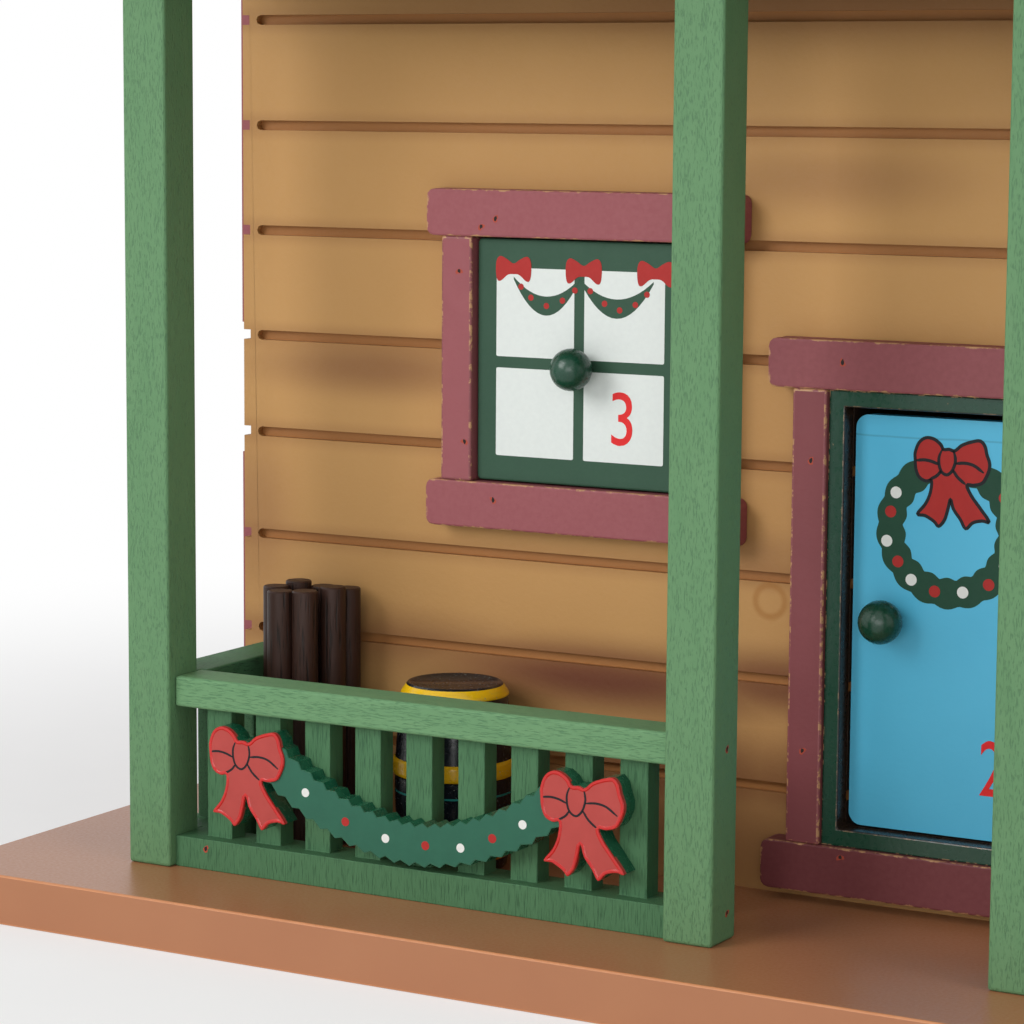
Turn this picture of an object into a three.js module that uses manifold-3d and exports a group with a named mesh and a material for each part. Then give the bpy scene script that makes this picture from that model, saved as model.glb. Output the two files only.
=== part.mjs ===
// Cabin advent calendar, millimetres, +Z up, the porch and front door face -Y.
import * as THREE from 'three';
import { mergeVertices } from 'three/addons/utils/BufferGeometryUtils.js';
import Module from 'manifold-3d';

const wasm = await Module();
wasm.setup();

// Base board and house outline
const baseWidth = 450;
const baseDepth = 280;
const baseThick = 12;
const halfWall = 190.6;
const wallFront = -59;
const wallRear = 121;
const boardThick = 9;
const backThick = 6;
const eaveZ = 342;
const roofSlope = 0.9;
const roofThick = 8;
const eaveOverhang = 12;
const gableOverhang = 11.4;

// Routed grooves that make the boards; the heights are above the base board
const grooveHeights = [23.4, 48.7, 72.5, 98.3, 122.5, 148.6, 174.5, 200.3, 225.7, 251.1, 276.4, 301.8, 327.1];
const gableGrooves = [352.5, 377.8];
const grooveHigh = 2.4;
const grooveDeep = 2;
const grooveStop = 4.1;

// Windows: the opening, its casing and the panel that fills it
const openWide = 57.7;
const openHigh = 58.5;
const casingThick = 6.6;
const casingHigh = 11.2;
const jambWide = 8.4;
const casingWide = 83;
const boardCorner = 2;
const cornerSteps = 3;
const panelProud = 4.2;
const panelThick = 5;
const runGap = 0.4;
const windowX = 91.85;
const lowerSill = 91.7;
const upperSill = 251.2;
const sideSills = [23.2, 137.2, 251.2];
const sideOffset = 44;
const columnGap = 4.8;
const trayRoom = 12.1;
const shelfThick = 3;

// Drawers
const trayWall = 2;
const trayHigh = 34;
const trayLength = 50;
const knobRadius = 5;
const knobStand = 11;
const stemRadius = 2;
const measuredKnob = [0.25, 28.4];
const smallOpen = 28;
const smallTray = 44;
const smallSill = 346;

// Front door and its trim
const doorOpenHalf = 24.2;
const doorOpenLow = 17.9;
const doorOpenHigh = 114.6;
const doorHalf = 23.2;
const doorLow = 18.5;
const doorHigh = 112.8;
const doorThick = 4;
const doorProud = 0.9;
const doorCorner = 3;
const pivotInset = 2;
const pivotRadius = 1;
const pivotClear = 0.05;
const pivotDepth = 3;
const surroundHalf = 28.1;
const surroundProud = 5.2;
const doorHeadHalf = 42.8;
const doorSillLow = 2.5;
const doorSillHigh = 13.9;
const doorHeadLow = 118.4;

// Porch
const postSize = 12;
const postFront = -113;
const postTop = 220;
const postInset = 9;
const doorPost = 37.8;
const postCentres = [postInset - halfWall, -doorPost, doorPost, halfWall - postInset];
const bayLeft = postCentres[0] + postSize / 2;
const bayRight = postCentres[1] - postSize / 2;
const railFront = -110.6;
const railBack = -99.6;
const railHigh = 7.4;
const topRailLow = 38.8;
const topRailHigh = 46.1;
const balusterCount = 9;
const sideBalusters = 2;
const balusterWide = 7;
const balusterFront = -107;
const balusterBack = -101.4;
const sideRailWide = 11.6;
const sideRailInset = 1.7;
const sideRailRight = bayLeft + sideRailInset;
const sideRailLeft = sideRailRight - sideRailWide;
const porchRoofLift = 21;
const porchWallZ = postTop + porchRoofLift;
const porchSlope = 0.176;
const porchThick = 6;
const porchEave = -127;
const porchHalf = 200;

// Porch ornaments
const bayCentre = (bayLeft + bayRight) / 2;
const garlandThick = 5;
const garlandFront = balusterFront - garlandThick;
const knotLeft = [bayLeft + 20.3, 29.5];
const knotRight = [bayRight - 22, 28.8];
const swagStart = knotLeft[0] + 7;
const swagEnd = knotRight[0] - 5;
const swagCentre = (swagStart + swagEnd) / 2 + 1.15;
const swagLow = 13.7;
const swagRise = 15;
const swagHalf = 4.6;
const swagTeeth = 21;
const barrelCentre = [bayLeft + 56.5, wallFront - 16.2];
const barrelHigh = 44.8;
const barrelBelly = 14.3;
const lidLow = 42;
const lidRadius = 13;
const lidTop = 11.2;
const logStart = [bayLeft + 10.2, wallFront - 21.6];
const logRadius = 3.2;

const group = new THREE.Group();
group.name = 'cabin_advent_calendar';

function paint(hex, roughness) {
  return new THREE.MeshStandardMaterial({ color: hex, roughness, metalness: 0 });
}

const materials = {
  base: paint(0xa8714f, 0.45),
  wall: paint(0xb78b58, 0.7),
  casing: paint(0x95586a, 0.6),
  rack: paint(0xc9ab7d, 0.8),
  roof: paint(0x3d6a4c, 0.7),
  post: paint(0x5f9069, 0.7),
  garland: paint(0x37685a, 0.5),
  barrel: paint(0x161a20, 0.35),
  logs: paint(0x3a2a26, 0.7),
  knob: paint(0x1d4a37, 0.25),
  door: paint(0x53aecb, 0.5),
  surround: paint(0x1f4c3a, 0.3),
  drawer: paint(0x3f5f4e, 0.5),
};

// A closed three geometry becomes a solid, with the empty triangles at a lathe's axis left out
function solid(geometry) {
  const bare = geometry.clone();
  bare.deleteAttribute('normal');
  bare.deleteAttribute('uv');
  const merged = mergeVertices(bare, 1e-4);
  const corners = merged.index.array;
  const kept = [];
  for (let i = 0; i < corners.length; i += 3) {
    const [a, b, c] = [corners[i], corners[i + 1], corners[i + 2]];
    if (a !== b && b !== c && a !== c) {
      kept.push(a, b, c);
    }
  }
  const mesh = new wasm.Mesh({
    numProp: 3,
    vertProperties: Float32Array.from(merged.attributes.position.array),
    triVerts: Uint32Array.from(kept),
  });
  return new wasm.Manifold(mesh);
}

function add(name, body, material) {
  const out = body.getMesh();
  const geometry = new THREE.BufferGeometry();
  geometry.setAttribute('position', new THREE.BufferAttribute(Float32Array.from(out.vertProperties), 3));
  geometry.setIndex(new THREE.BufferAttribute(Uint32Array.from(out.triVerts), 1));
  geometry.computeVertexNormals();
  const mesh = new THREE.Mesh(geometry, material);
  mesh.name = name;
  group.add(mesh);
}

function box(x0, x1, y0, y1, z0, z1) {
  const geometry = new THREE.BoxGeometry(x1 - x0, y1 - y0, z1 - z0);
  geometry.translate((x0 + x1) / 2, (y0 + y1) / 2, (z0 + z1) / 2);
  return solid(geometry);
}

// An outline of [x, z] points, extruded along Y from y0 to y1
function plateXZ(points, y0, y1) {
  const shape = new THREE.Shape(points.map(([x, z]) => new THREE.Vector2(x, z)));
  const geometry = new THREE.ExtrudeGeometry(shape, { depth: y1 - y0, bevelEnabled: false });
  geometry.rotateX(Math.PI / 2);
  geometry.translate(0, y1, 0);
  return solid(geometry);
}

// An outline of [y, z] points, extruded along X from x0 to x1
function plateYZ(points, x0, x1) {
  const shape = new THREE.Shape(points.map(([y, z]) => new THREE.Vector2(y, z)));
  const geometry = new THREE.ExtrudeGeometry(shape, { depth: x1 - x0, bevelEnabled: false });
  geometry.rotateX(Math.PI / 2);
  geometry.rotateZ(Math.PI / 2);
  geometry.translate(x0, 0, 0);
  return solid(geometry);
}

// Points of a rectangle with quarter-circle corners, counter-clockwise
function roundedRect(x0, x1, z0, z1, radius, steps) {
  const points = [];
  const corners = [[x1 - radius, z0 + radius, -90], [x1 - radius, z1 - radius, 0],
    [x0 + radius, z1 - radius, 90], [x0 + radius, z0 + radius, 180]];
  for (const [cx, cz, start] of corners) {
    for (let i = 0; i <= steps; i += 1) {
      const angle = (start + i * 90 / steps) * Math.PI / 180;
      points.push([cx + radius * Math.cos(angle), cz + radius * Math.sin(angle)]);
    }
  }
  return points;
}

function rod(x, y, z0, z1, radius, sides) {
  const geometry = new THREE.CylinderGeometry(radius, radius, z1 - z0, sides);
  geometry.rotateX(Math.PI / 2);
  geometry.translate(x, y, (z0 + z1) / 2);
  return solid(geometry);
}

function union(list) {
  return list.reduce((sum, item) => sum.add(item));
}

function above(z) {
  return baseThick + z;
}

// Turns a piece built for the front wall so that its outer face looks along -X or +X
const turnLeft = [0, -1, 0, 0, 1, 0, 0, 0, 0, 0, 1, 0, 0, 0, 0, 1];
const turnRight = [0, 1, 0, 0, -1, 0, 0, 0, 0, 0, 1, 0, 0, 0, 0, 1];

function place(body, side, centre, sill) {
  if (side === 'front') {
    return body.translate([centre, wallFront, above(sill)]);
  }
  if (side === 'left') {
    return body.transform(turnLeft).translate([-halfWall, centre, above(sill)]);
  }
  return body.transform(turnRight).translate([halfWall, centre, above(sill)]);
}

// A level trim board with sanded round corners, on the face y = 0 or let into it
function trimBoard(half, low, into) {
  return plateXZ(roundedRect(-half, half, low, low + casingHigh, boardCorner, cornerSteps), -casingThick, into);
}

// Four trim boards round an opening whose lower left corner is at x = -wide / 2, z = 0
function casingBoards() {
  const half = openWide / 2;
  return {
    head: trimBoard(casingWide / 2, openHigh, 0),
    sill: trimBoard(casingWide / 2, -casingHigh, 0),
    jamb_left: box(-half - jambWide, -half, -casingThick, 0, 0, openHigh),
    jamb_right: box(half, half + jambWide, -casingThick, 0, 0, openHigh),
  };
}

// The same boards as one ring, let into the wall by the given depth
function casingRing(into) {
  const half = openWide / 2;
  const ring = union([
    trimBoard(casingWide / 2, openHigh, into),
    trimBoard(casingWide / 2, -casingHigh, into),
    box(-half - jambWide, half + jambWide, -casingThick, into, -1, openHigh + 1),
  ]);
  return ring.subtract(box(-half, half, -casingThick - 1, into + 1, 0, openHigh));
}

function knobAt(x, y, z) {
  const ball = new THREE.SphereGeometry(knobRadius, 12, 8);
  ball.rotateX(Math.PI / 2);
  ball.translate(x, y, z);
  return solid(ball);
}

function knobStem(x, y0, y1, z) {
  const stem = new THREE.CylinderGeometry(stemRadius, stemRadius, y1 - y0, 8);
  stem.translate(x, (y0 + y1) / 2, z);
  return solid(stem);
}

// Front panel with its tray behind, made for an opening centred on x = 0 with its sill at z = 0
function drawerBody(wide, high, proud, length, walls) {
  const half = wide / 2 - runGap;
  const side = half - 0.8;
  const back = length;
  const low = 0.2;
  const panelBack = panelThick - proud;
  const panel = box(-half, half, -proud, panelBack, runGap, high - runGap);
  const tray = box(-side, side, panelBack - 0.5, back, low, walls);
  const inner = box(-side + trayWall, side - trayWall, panelBack, back - trayWall, low + trayWall, walls + 1);
  return panel.add(tray.subtract(inner));
}

function withKnob(body, high, proud) {
  const y = -proud - knobStand + knobRadius;
  return union([body, knobAt(0, y, high / 2 + 0.2), knobStem(0, y, -proud + 0.5, high / 2 + 0.2)]);
}

// Base board
add('base_board', box(-baseWidth / 2, baseWidth / 2, -baseDepth / 2, baseDepth / 2, 0, baseThick), materials.base);

// House outline seen from the side, up to the underside of the roof
const ridgeY = (wallFront + wallRear) / 2;
const beyond = 2 * (baseWidth + eaveZ);

function roofUnder(y) {
  const run = y < ridgeY ? y - wallFront : wallRear - y;
  return eaveZ + roofSlope * run;
}

function houseProfile(y0, y1, drop, x0, x1) {
  const points = [[y0, baseThick], [y1, baseThick], [y1, roofUnder(y1) - drop]];
  if (y0 < ridgeY && y1 > ridgeY) {
    points.push([ridgeY, roofUnder(ridgeY) - drop]);
  }
  points.push([y0, roofUnder(y0) - drop]);
  return plateYZ(points, x0, x1);
}

// A groove across the front face that stops short of each end with a round end
function frontGroove(height) {
  const z = above(height) + grooveHigh / 2;
  const end = halfWall - grooveStop - grooveHigh / 2;
  const slot = box(-end, end, wallFront - 1, wallFront + grooveDeep, z - grooveHigh / 2, z + grooveHigh / 2);
  const round = new THREE.CylinderGeometry(grooveHigh / 2, grooveHigh / 2, grooveDeep + 1, 8);
  round.translate(0, wallFront + (grooveDeep - 1) / 2, z);
  const cap = solid(round);
  return union([slot, cap.translate([-end, 0, 0]), cap.translate([end, 0, 0])]);
}

// The same cut along an end face of the front wall or along a side wall
function sideGroove(height, sign, y0, y1) {
  const z0 = above(height);
  const outer = sign * (halfWall + 1);
  const inner = sign * (halfWall - grooveDeep);
  return box(Math.min(outer, inner), Math.max(outer, inner), y0, y1, z0, z0 + grooveHigh);
}

function opening(wide, high) {
  return box(-wide / 2, wide / 2, -1, boardThick + 1, 0, high);
}

// Front wall with grooves, openings and the casings of the upper windows
let frontWall = houseProfile(wallFront, wallFront + boardThick, 0, -halfWall, halfWall);
for (const height of grooveHeights) {
  frontWall = frontWall.subtract(frontGroove(height));
  for (const sign of [-1, 1]) {
    frontWall = frontWall.subtract(sideGroove(height, sign, wallFront - 1, wallFront + boardThick + 1));
  }
}
for (const x of [-windowX, windowX]) {
  frontWall = frontWall.subtract(place(opening(openWide, openHigh), 'front', x, lowerSill));
}
for (const x of [-windowX, 0, windowX]) {
  frontWall = frontWall.add(place(casingRing(3), 'front', x, upperSill));
  frontWall = frontWall.subtract(place(opening(openWide, openHigh), 'front', x, upperSill));
}
const doorHole = box(-doorOpenHalf, doorOpenHalf, wallFront - 1, wallFront + boardThick + 1,
  above(doorOpenLow), above(doorOpenHigh));
const pivotX = doorHalf - pivotInset;
const pivotY = wallFront - doorProud + doorThick / 2;
const pivotHole = rod(pivotX, pivotY, above(doorOpenLow - pivotDepth - 0.5), above(doorOpenHigh + pivotDepth + 0.5),
  pivotRadius + pivotClear, 24);
add('front_wall', frontWall.subtract(doorHole).subtract(pivotHole), materials.wall);

// Side walls
const sideColumns = [ridgeY - sideOffset, ridgeY + sideOffset];
for (const [side, sign] of [['left', -1], ['right', 1]]) {
  const y0 = wallFront + boardThick;
  const y1 = wallRear - backThick;
  const outer = sign * halfWall;
  const inner = sign * (halfWall - boardThick);
  let wall = houseProfile(y0, y1, 0, Math.min(outer, inner), Math.max(outer, inner));
  for (const height of [...grooveHeights, ...gableGrooves]) {
    wall = wall.subtract(sideGroove(height, sign, y0 - 1, y1 + 1));
  }
  for (const y of sideColumns) {
    for (const sill of sideSills) {
      wall = wall.add(place(casingRing(3), side, y, sill));
      wall = wall.subtract(place(opening(openWide, openHigh), side, y, sill));
    }
  }
  wall = wall.subtract(place(opening(smallOpen, smallOpen), side, ridgeY, smallSill));
  const clear = box(-baseWidth, baseWidth, y0, y1, 0, beyond);
  add(`${side}_wall`, wall.intersect(clear), materials.wall);
}

// Back panel
add('back_panel', houseProfile(wallRear - backThick, wallRear, 0, -halfWall, halfWall), materials.wall);

// Rack of shelves and partitions that the trays run on
const inX = halfWall - boardThick;
const inY0 = wallFront + boardThick;
const inY1 = wallRear - backThick;
const partA = (windowX - shelfThick) / 2;
const partB = windowX + openWide / 2 + columnGap;
const rackTop = above(smallSill);

function shelf(x0, x1, topHeight) {
  const top = above(topHeight);
  return box(Math.min(x0, x1), Math.max(x0, x1), inY0, inY1, top - shelfThick, top);
}

const rackParts = [box(-inX, inX, inY0, inY1, rackTop - shelfThick, rackTop)];
for (const sign of [-1, 1]) {
  for (const x of [partA, partB]) {
    const [a, b] = [sign * x, sign * (x + shelfThick)];
    rackParts.push(box(Math.min(a, b), Math.max(a, b), inY0, inY1, baseThick, rackTop));
  }
  for (const sill of [lowerSill, upperSill]) {
    rackParts.push(shelf(sign * partA, sign * (partB + 1), sill));
  }
  for (const sill of sideSills) {
    rackParts.push(shelf(sign * partB, sign * inX, sill));
  }
}
for (const sill of [doorOpenLow, doorOpenHigh + shelfThick, upperSill]) {
  rackParts.push(shelf(-partA - 1, partA + 1, sill));
}
const inside = houseProfile(inY0, inY1, 0.3, -inX, inX);
add('cell_rack', union(rackParts).intersect(inside), materials.rack);

// Main roof: two boards that meet on a plumb joint at the ridge, four dormers in the front one
const roofStep = roofThick * Math.hypot(1, roofSlope);
const dormerCentres = [-130, -45, 45, 130];
const dormerFront = -60;
const dormerHalf = 20;
const dormerWallTop = 390;
const dormerPeak = 403;
const dormerBack = 2;

function roofBoard(eaveY) {
  const low = eaveZ - roofSlope * eaveOverhang;
  const high = roofUnder(ridgeY);
  const points = [[eaveY, low], [ridgeY, high], [ridgeY, high + roofStep], [eaveY, low + roofStep]];
  const half = halfWall + gableOverhang;
  return plateYZ(eaveY < ridgeY ? points : points.reverse(), -half, half);
}

let roofFront = roofBoard(wallFront - eaveOverhang);
const overRoof = plateYZ([[dormerFront - 1, roofUnder(dormerFront - 1) + 0.5],
  [ridgeY, roofUnder(ridgeY) + 0.5], [ridgeY, beyond], [dormerFront - 1, beyond]], -beyond, beyond);
for (const x of dormerCentres) {
  const points = [[x - dormerHalf, baseThick], [x + dormerHalf, baseThick], [x + dormerHalf, dormerWallTop],
    [x, dormerPeak], [x - dormerHalf, dormerWallTop]];
  roofFront = roofFront.add(plateXZ(points, dormerFront, dormerBack).intersect(overRoof));
}
for (const x of dormerCentres) {
  const hole = box(x - smallOpen / 2, x + smallOpen / 2, dormerFront - 1, dormerFront + smallTray + 6,
    above(smallSill), above(smallSill) + smallOpen);
  roofFront = roofFront.subtract(hole);
}
add('roof_front', roofFront, materials.roof);
add('roof_rear', roofBoard(wallRear + eaveOverhang), materials.roof);

// Porch roof and the beam that carries it
function porchUnder(y) {
  return porchWallZ + porchSlope * (y - wallFront);
}

const porchStep = porchThick * Math.hypot(1, porchSlope);
add('porch_roof', plateYZ([[porchEave, porchUnder(porchEave)], [wallFront, porchWallZ],
  [wallFront, porchWallZ + porchStep], [porchEave, porchUnder(porchEave) + porchStep]],
-porchHalf, porchHalf), materials.roof);

const postBack = postFront + postSize;
const beamEnd = postCentres[3] + postSize / 2;
add('porch_beam', plateYZ([[postFront, postTop], [postBack, postTop], [postBack, porchUnder(postBack)],
  [postFront, porchUnder(postFront)]], -beamEnd, beamEnd), materials.post);

postCentres.forEach((x, i) => {
  const half = postSize / 2;
  add(`porch_post_${i + 1}`, box(x - half, x + half, postFront, postBack, baseThick, postTop), materials.post);
});

// Railings of both bays; the right bay mirrors the left one
function mirrored(body, side) {
  return side === 'left' ? body : body.mirror([1, 0, 0]);
}

const balusterGap = (bayRight - bayLeft - balusterCount * balusterWide) / (balusterCount + 1);

function balusterPanel() {
  const parts = [box(bayLeft, bayRight, railFront, railBack, above(0), above(railHigh))];
  for (let i = 0; i < balusterCount; i += 1) {
    const x = bayLeft + balusterGap + i * (balusterWide + balusterGap);
    parts.push(box(x, x + balusterWide, balusterFront, balusterBack, above(railHigh) - 0.5, above(topRailLow)));
  }
  return union(parts);
}

function sideRailing() {
  const parts = [
    box(sideRailLeft, sideRailRight, postBack, wallFront, above(topRailLow), above(topRailHigh)),
    box(sideRailLeft, sideRailRight, postBack, wallFront, above(0), above(railHigh)),
  ];
  const middle = (sideRailLeft + sideRailRight) / 2;
  const half = (balusterBack - balusterFront) / 2;
  const gap = (wallFront - postBack - sideBalusters * balusterWide) / (sideBalusters + 1);
  for (let i = 0; i < sideBalusters; i += 1) {
    const y = postBack + gap + i * (balusterWide + gap);
    parts.push(box(middle - half, middle + half, y, y + balusterWide, above(railHigh) - 0.5, above(topRailLow) + 0.5));
  }
  return union(parts);
}

// Side rails stop at the front rails, which butt the inner faces of the posts
const sideClear = box(bayLeft, 0, -beyond, railBack, 0, beyond);
for (const side of ['left', 'right']) {
  const top = box(bayLeft, bayRight, railFront, railBack, above(topRailLow), above(topRailHigh));
  add(`top_rail_${side}`, mirrored(top, side), materials.post);
  add(`baluster_rail_${side}`, mirrored(balusterPanel(), side), materials.post);
  add(`side_railing_${side}`, mirrored(sideRailing().subtract(sideClear), side), materials.post);
}

// Bow outline about its knot, seen from the front
const bowOutline = [
  [-9.0, 2.1], [-8.0, 4.7], [-6.1, 6.1], [-3.8, 5.9], [-1.9, 4.6], [-1.0, 3.3], [0.6, 3.4], [2.2, 3.1],
  [4.2, 4.7], [7.1, 5.8], [9.3, 6.1], [10.6, 4.8], [11.2, 2.6], [12.0, 0.5], [11.9, -1.5], [10.9, -3.9],
  [9.9, -5.1], [7.7, -5.7], [5.8, -5.8], [7.1, -8.5], [9.6, -11.6], [12.3, -15.1], [10.3, -15.0],
  [7.7, -15.7], [5.8, -17.4], [4.2, -15.0], [2.2, -12.4], [1.3, -9.8], [0.6, -12.6], [-0.3, -15.5],
  [-1.9, -17.3], [-3.2, -16.1], [-5.8, -14.7], [-8.0, -14.4], [-5.8, -11.6], [-4.5, -8.6], [-4.2, -5.3],
  [-5.8, -5.4], [-7.7, -4.5], [-8.7, -2.4], [-9.0, 0.4],
];

// Swag between the bows: a parabola with saw teeth on both edges, like cut fir, steep on their right side
const toothShape = [[0, -0.45], [0.62, 0.55]];

function swagOutline() {
  const upper = [];
  const lower = [];
  const curve = swagRise / ((swagEnd - swagStart) / 2) ** 2;
  for (let i = 0; i < swagTeeth; i += 1) {
    for (const [part, raise] of toothShape) {
      const x = swagStart + (swagEnd - swagStart) * (i + part) / swagTeeth;
      const run = x - swagCentre;
      const slope = 2 * curve * run;
      const reach = (swagHalf + raise) / Math.hypot(1, slope);
      const z = swagLow + curve * run * run;
      upper.push([x - slope * reach, z + reach]);
      lower.push([x + slope * reach, z - reach]);
    }
  }
  return [...lower, ...upper.reverse()];
}

function garland(shift) {
  const bow = ([kx, kz]) => bowOutline.map(([x, z]) => [kx + x + shift, above(kz + z)]).reverse();
  const swag = swagOutline().map(([x, z]) => [x + shift, above(z)]);
  return union([bow(knotLeft), swag, bow(knotRight)]
    .map((points) => plateXZ(points, garlandFront, balusterFront)));
}

add('garland_left', garland(0), materials.garland);
add('garland_right', garland(-2 * bayCentre), materials.garland);

// Turned barrel: foot, two raised hoops round a bellied body, and a lid ring that tapers inwards
function barrelRadius(z) {
  const rise = (z - lidLow / 2) / lidLow;
  return barrelBelly - 7 * rise * rise;
}

const barrelProfile = [[0, 0], [barrelRadius(0) - 0.6, 0]];
for (const [z0, z1, raise] of [[0.8, 3.4, 0], [3.4, 9.1, 0.5], [9.2, 22.4, 0], [22.5, 27, 0.5], [27.1, 41, 0]]) {
  for (let i = 0; i <= 2; i += 1) {
    const z = z0 + (z1 - z0) * i / 2;
    barrelProfile.push([barrelRadius(z) + raise, z]);
  }
}
barrelProfile.push([lidRadius - 0.5, lidLow - 0.6], [lidRadius, lidLow], [lidRadius - 0.1, lidLow + 0.5],
  [lidTop, barrelHigh], [lidTop - 0.9, barrelHigh], [lidTop - 1.1, barrelHigh - 0.4], [0, barrelHigh - 0.4]);
const barrelTurned = new THREE.LatheGeometry(barrelProfile.map(([r, z]) => new THREE.Vector2(r, z)), 32);
barrelTurned.rotateX(Math.PI / 2);
barrelTurned.translate(barrelCentre[0], barrelCentre[1], baseThick);
add('barrel', solid(barrelTurned), materials.barrel);

// Bundle of dowels cut to slightly different lengths, glued where they touch; each is [x, y, height]
const logSpots = [[0, 0, 63.6], [6, 1.7, 63.8], [9.5, 8.9, 64.2], [9.8, 15.1, 63.2], [-4.2, 4.5, 63.9],
  [-1.2, 9.9, 64.8], [4.2, 12.8, 63.5]];
add('log_bundle', union(logSpots.map(([x, y, high]) => rod(logStart[0] + x, logStart[1] + y, above(0), above(high),
  logRadius, 20))), materials.logs);

// Casings of the two lower windows
for (const [name, board] of Object.entries(casingBoards())) {
  add(`window_3_casing_${name}`, place(board, 'front', -windowX, lowerSill), materials.casing);
}
add('window_casing_right', place(casingRing(0), 'front', windowX, lowerSill), materials.casing);

// Door trim
const trimFront = wallFront - casingThick;
const jambOut = surroundHalf + jambWide;
add('door_head', place(trimBoard(doorHeadHalf, doorHeadLow, 0), 'front', 0, 0), materials.casing);
add('door_sill', plateXZ(roundedRect(-doorHeadHalf, doorHeadHalf, above(doorSillLow), above(doorSillHigh),
  boardCorner, cornerSteps), trimFront, wallFront), materials.casing);
add('door_jamb_left', box(-jambOut, -surroundHalf, trimFront, wallFront, above(doorSillHigh),
  above(doorHeadLow)), materials.casing);
add('door_jamb_right', box(surroundHalf, jambOut, trimFront, wallFront, above(doorSillHigh),
  above(doorHeadLow)), materials.casing);
const surroundFront = wallFront - surroundProud;
const surroundOuter = box(-surroundHalf, surroundHalf, surroundFront, wallFront, above(doorSillHigh),
  above(doorHeadLow));
const surroundInner = box(-doorOpenHalf, doorOpenHalf, surroundFront - 1, wallFront + 1,
  above(doorOpenLow), above(doorOpenHigh));
add('door_surround', surroundOuter.subtract(surroundInner), materials.surround);

// Door leaf with round corners, a round pivot edge and pins that turn in the wall, and its knob
const leafFront = wallFront - doorProud;
const leafPlate = plateXZ(roundedRect(-doorHalf, doorHalf, above(doorLow), above(doorHigh), doorCorner, 6),
  leafFront, leafFront + doorThick);
const leafEdge = box(-doorHalf - 1, pivotX, leafFront, leafFront + doorThick, 0, beyond)
  .add(rod(pivotX, pivotY, 0, beyond, doorThick / 2, 32));
const pivotPin = rod(pivotX, pivotY, above(doorOpenLow - pivotDepth), above(doorOpenHigh + pivotDepth), pivotRadius, 24);
const leaf = leafPlate.intersect(leafEdge).add(pivotPin);
add('front_door', leaf, materials.door);
const doorKnobY = leafFront - knobStand + knobRadius;
add('front_door_knob', knobAt(-13.9, doorKnobY, above(66.8))
  .add(knobStem(-13.9, doorKnobY, leafFront, above(66.8))), materials.knob);

// Drawers: 3 is the lower left window of the photograph and keeps its knob as its own piece
const drawerSeats = [];
drawerSeats.push(['drawer_04', 'front', windowX, lowerSill]);
[-windowX, 0, windowX].forEach((x, i) => {
  drawerSeats.push([`drawer_${String(5 + i).padStart(2, '0')}`, 'front', x, upperSill]);
});
let number = 8;
for (const side of ['left', 'right']) {
  for (const sill of sideSills) {
    for (const y of sideColumns) {
      drawerSeats.push([`drawer_${String(number).padStart(2, '0')}`, side, y, sill]);
      number += 1;
    }
  }
}
const plain = drawerBody(openWide, openHigh, panelProud, trayLength, trayHigh);
const sideTray = halfWall - partB - shelfThick - trayRoom;
const sidePlain = drawerBody(openWide, openHigh, panelProud, sideTray, trayHigh);
add('drawer_03', place(plain, 'front', -windowX, lowerSill), materials.drawer);
const knobY = -panelProud - knobStand + knobRadius;
const [measuredX, measuredZ] = measuredKnob;
const loose = knobAt(measuredX, knobY, measuredZ).add(knobStem(measuredX, knobY, -panelProud, measuredZ));
add('drawer_03_knob', place(loose, 'front', -windowX, lowerSill), materials.knob);
for (const [name, side, centre, sill] of drawerSeats) {
  const body = withKnob(side === 'front' ? plain : sidePlain, openHigh, panelProud);
  add(name, place(body, side, centre, sill), materials.drawer);
}

// Small attic drawers, one in each gable and one in each dormer
const smallFront = 3;
const small = withKnob(drawerBody(smallOpen, smallOpen, smallFront, smallTray, 16), smallOpen, smallFront);
for (const side of ['left', 'right']) {
  add(`drawer_${number}`, place(small, side, ridgeY, smallSill), materials.drawer);
  number += 1;
}
dormerCentres.forEach((x, i) => {
  const numbers = ['23', '02', '01', '22'];
  add(`drawer_${numbers[i]}`, small.translate([x, dormerFront, above(smallSill)]), materials.drawer);
});

export default group;
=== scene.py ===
import bpy
import bmesh
import numpy as np
from mathutils import Matrix

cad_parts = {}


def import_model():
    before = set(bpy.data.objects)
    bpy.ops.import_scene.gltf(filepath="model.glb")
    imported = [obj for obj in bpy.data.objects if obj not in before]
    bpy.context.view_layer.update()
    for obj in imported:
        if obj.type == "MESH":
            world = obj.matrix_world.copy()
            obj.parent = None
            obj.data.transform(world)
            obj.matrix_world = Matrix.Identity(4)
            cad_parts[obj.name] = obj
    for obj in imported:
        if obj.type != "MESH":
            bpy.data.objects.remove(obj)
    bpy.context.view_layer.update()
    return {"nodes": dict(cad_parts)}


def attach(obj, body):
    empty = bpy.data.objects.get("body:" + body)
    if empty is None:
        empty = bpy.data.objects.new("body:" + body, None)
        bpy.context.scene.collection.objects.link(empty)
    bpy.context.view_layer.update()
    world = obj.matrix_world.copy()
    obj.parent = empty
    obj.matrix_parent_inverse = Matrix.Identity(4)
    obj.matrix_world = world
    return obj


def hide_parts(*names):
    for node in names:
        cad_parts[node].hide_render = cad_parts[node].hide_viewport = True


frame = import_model()
MM = 0.001
# How far a finish's roughness swings about its mean
GLOSS_SWING = 0.06
COLOUR = {"data_type": "RGBA"}
SMOOTH = {"interpolation_type": "SMOOTHSTEP"}


# Colour and node helpers

def paint_colour(hex_code):
    """sRGB hex to linear RGBA."""
    parts = [int(hex_code[i:i + 2], 16) / 255 for i in (1, 3, 5)]
    linear = [c / 12.92 if c <= 0.04045 else ((c + 0.055) / 1.055) ** 2.4 for c in parts]
    return (*linear, 1.0)


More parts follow.
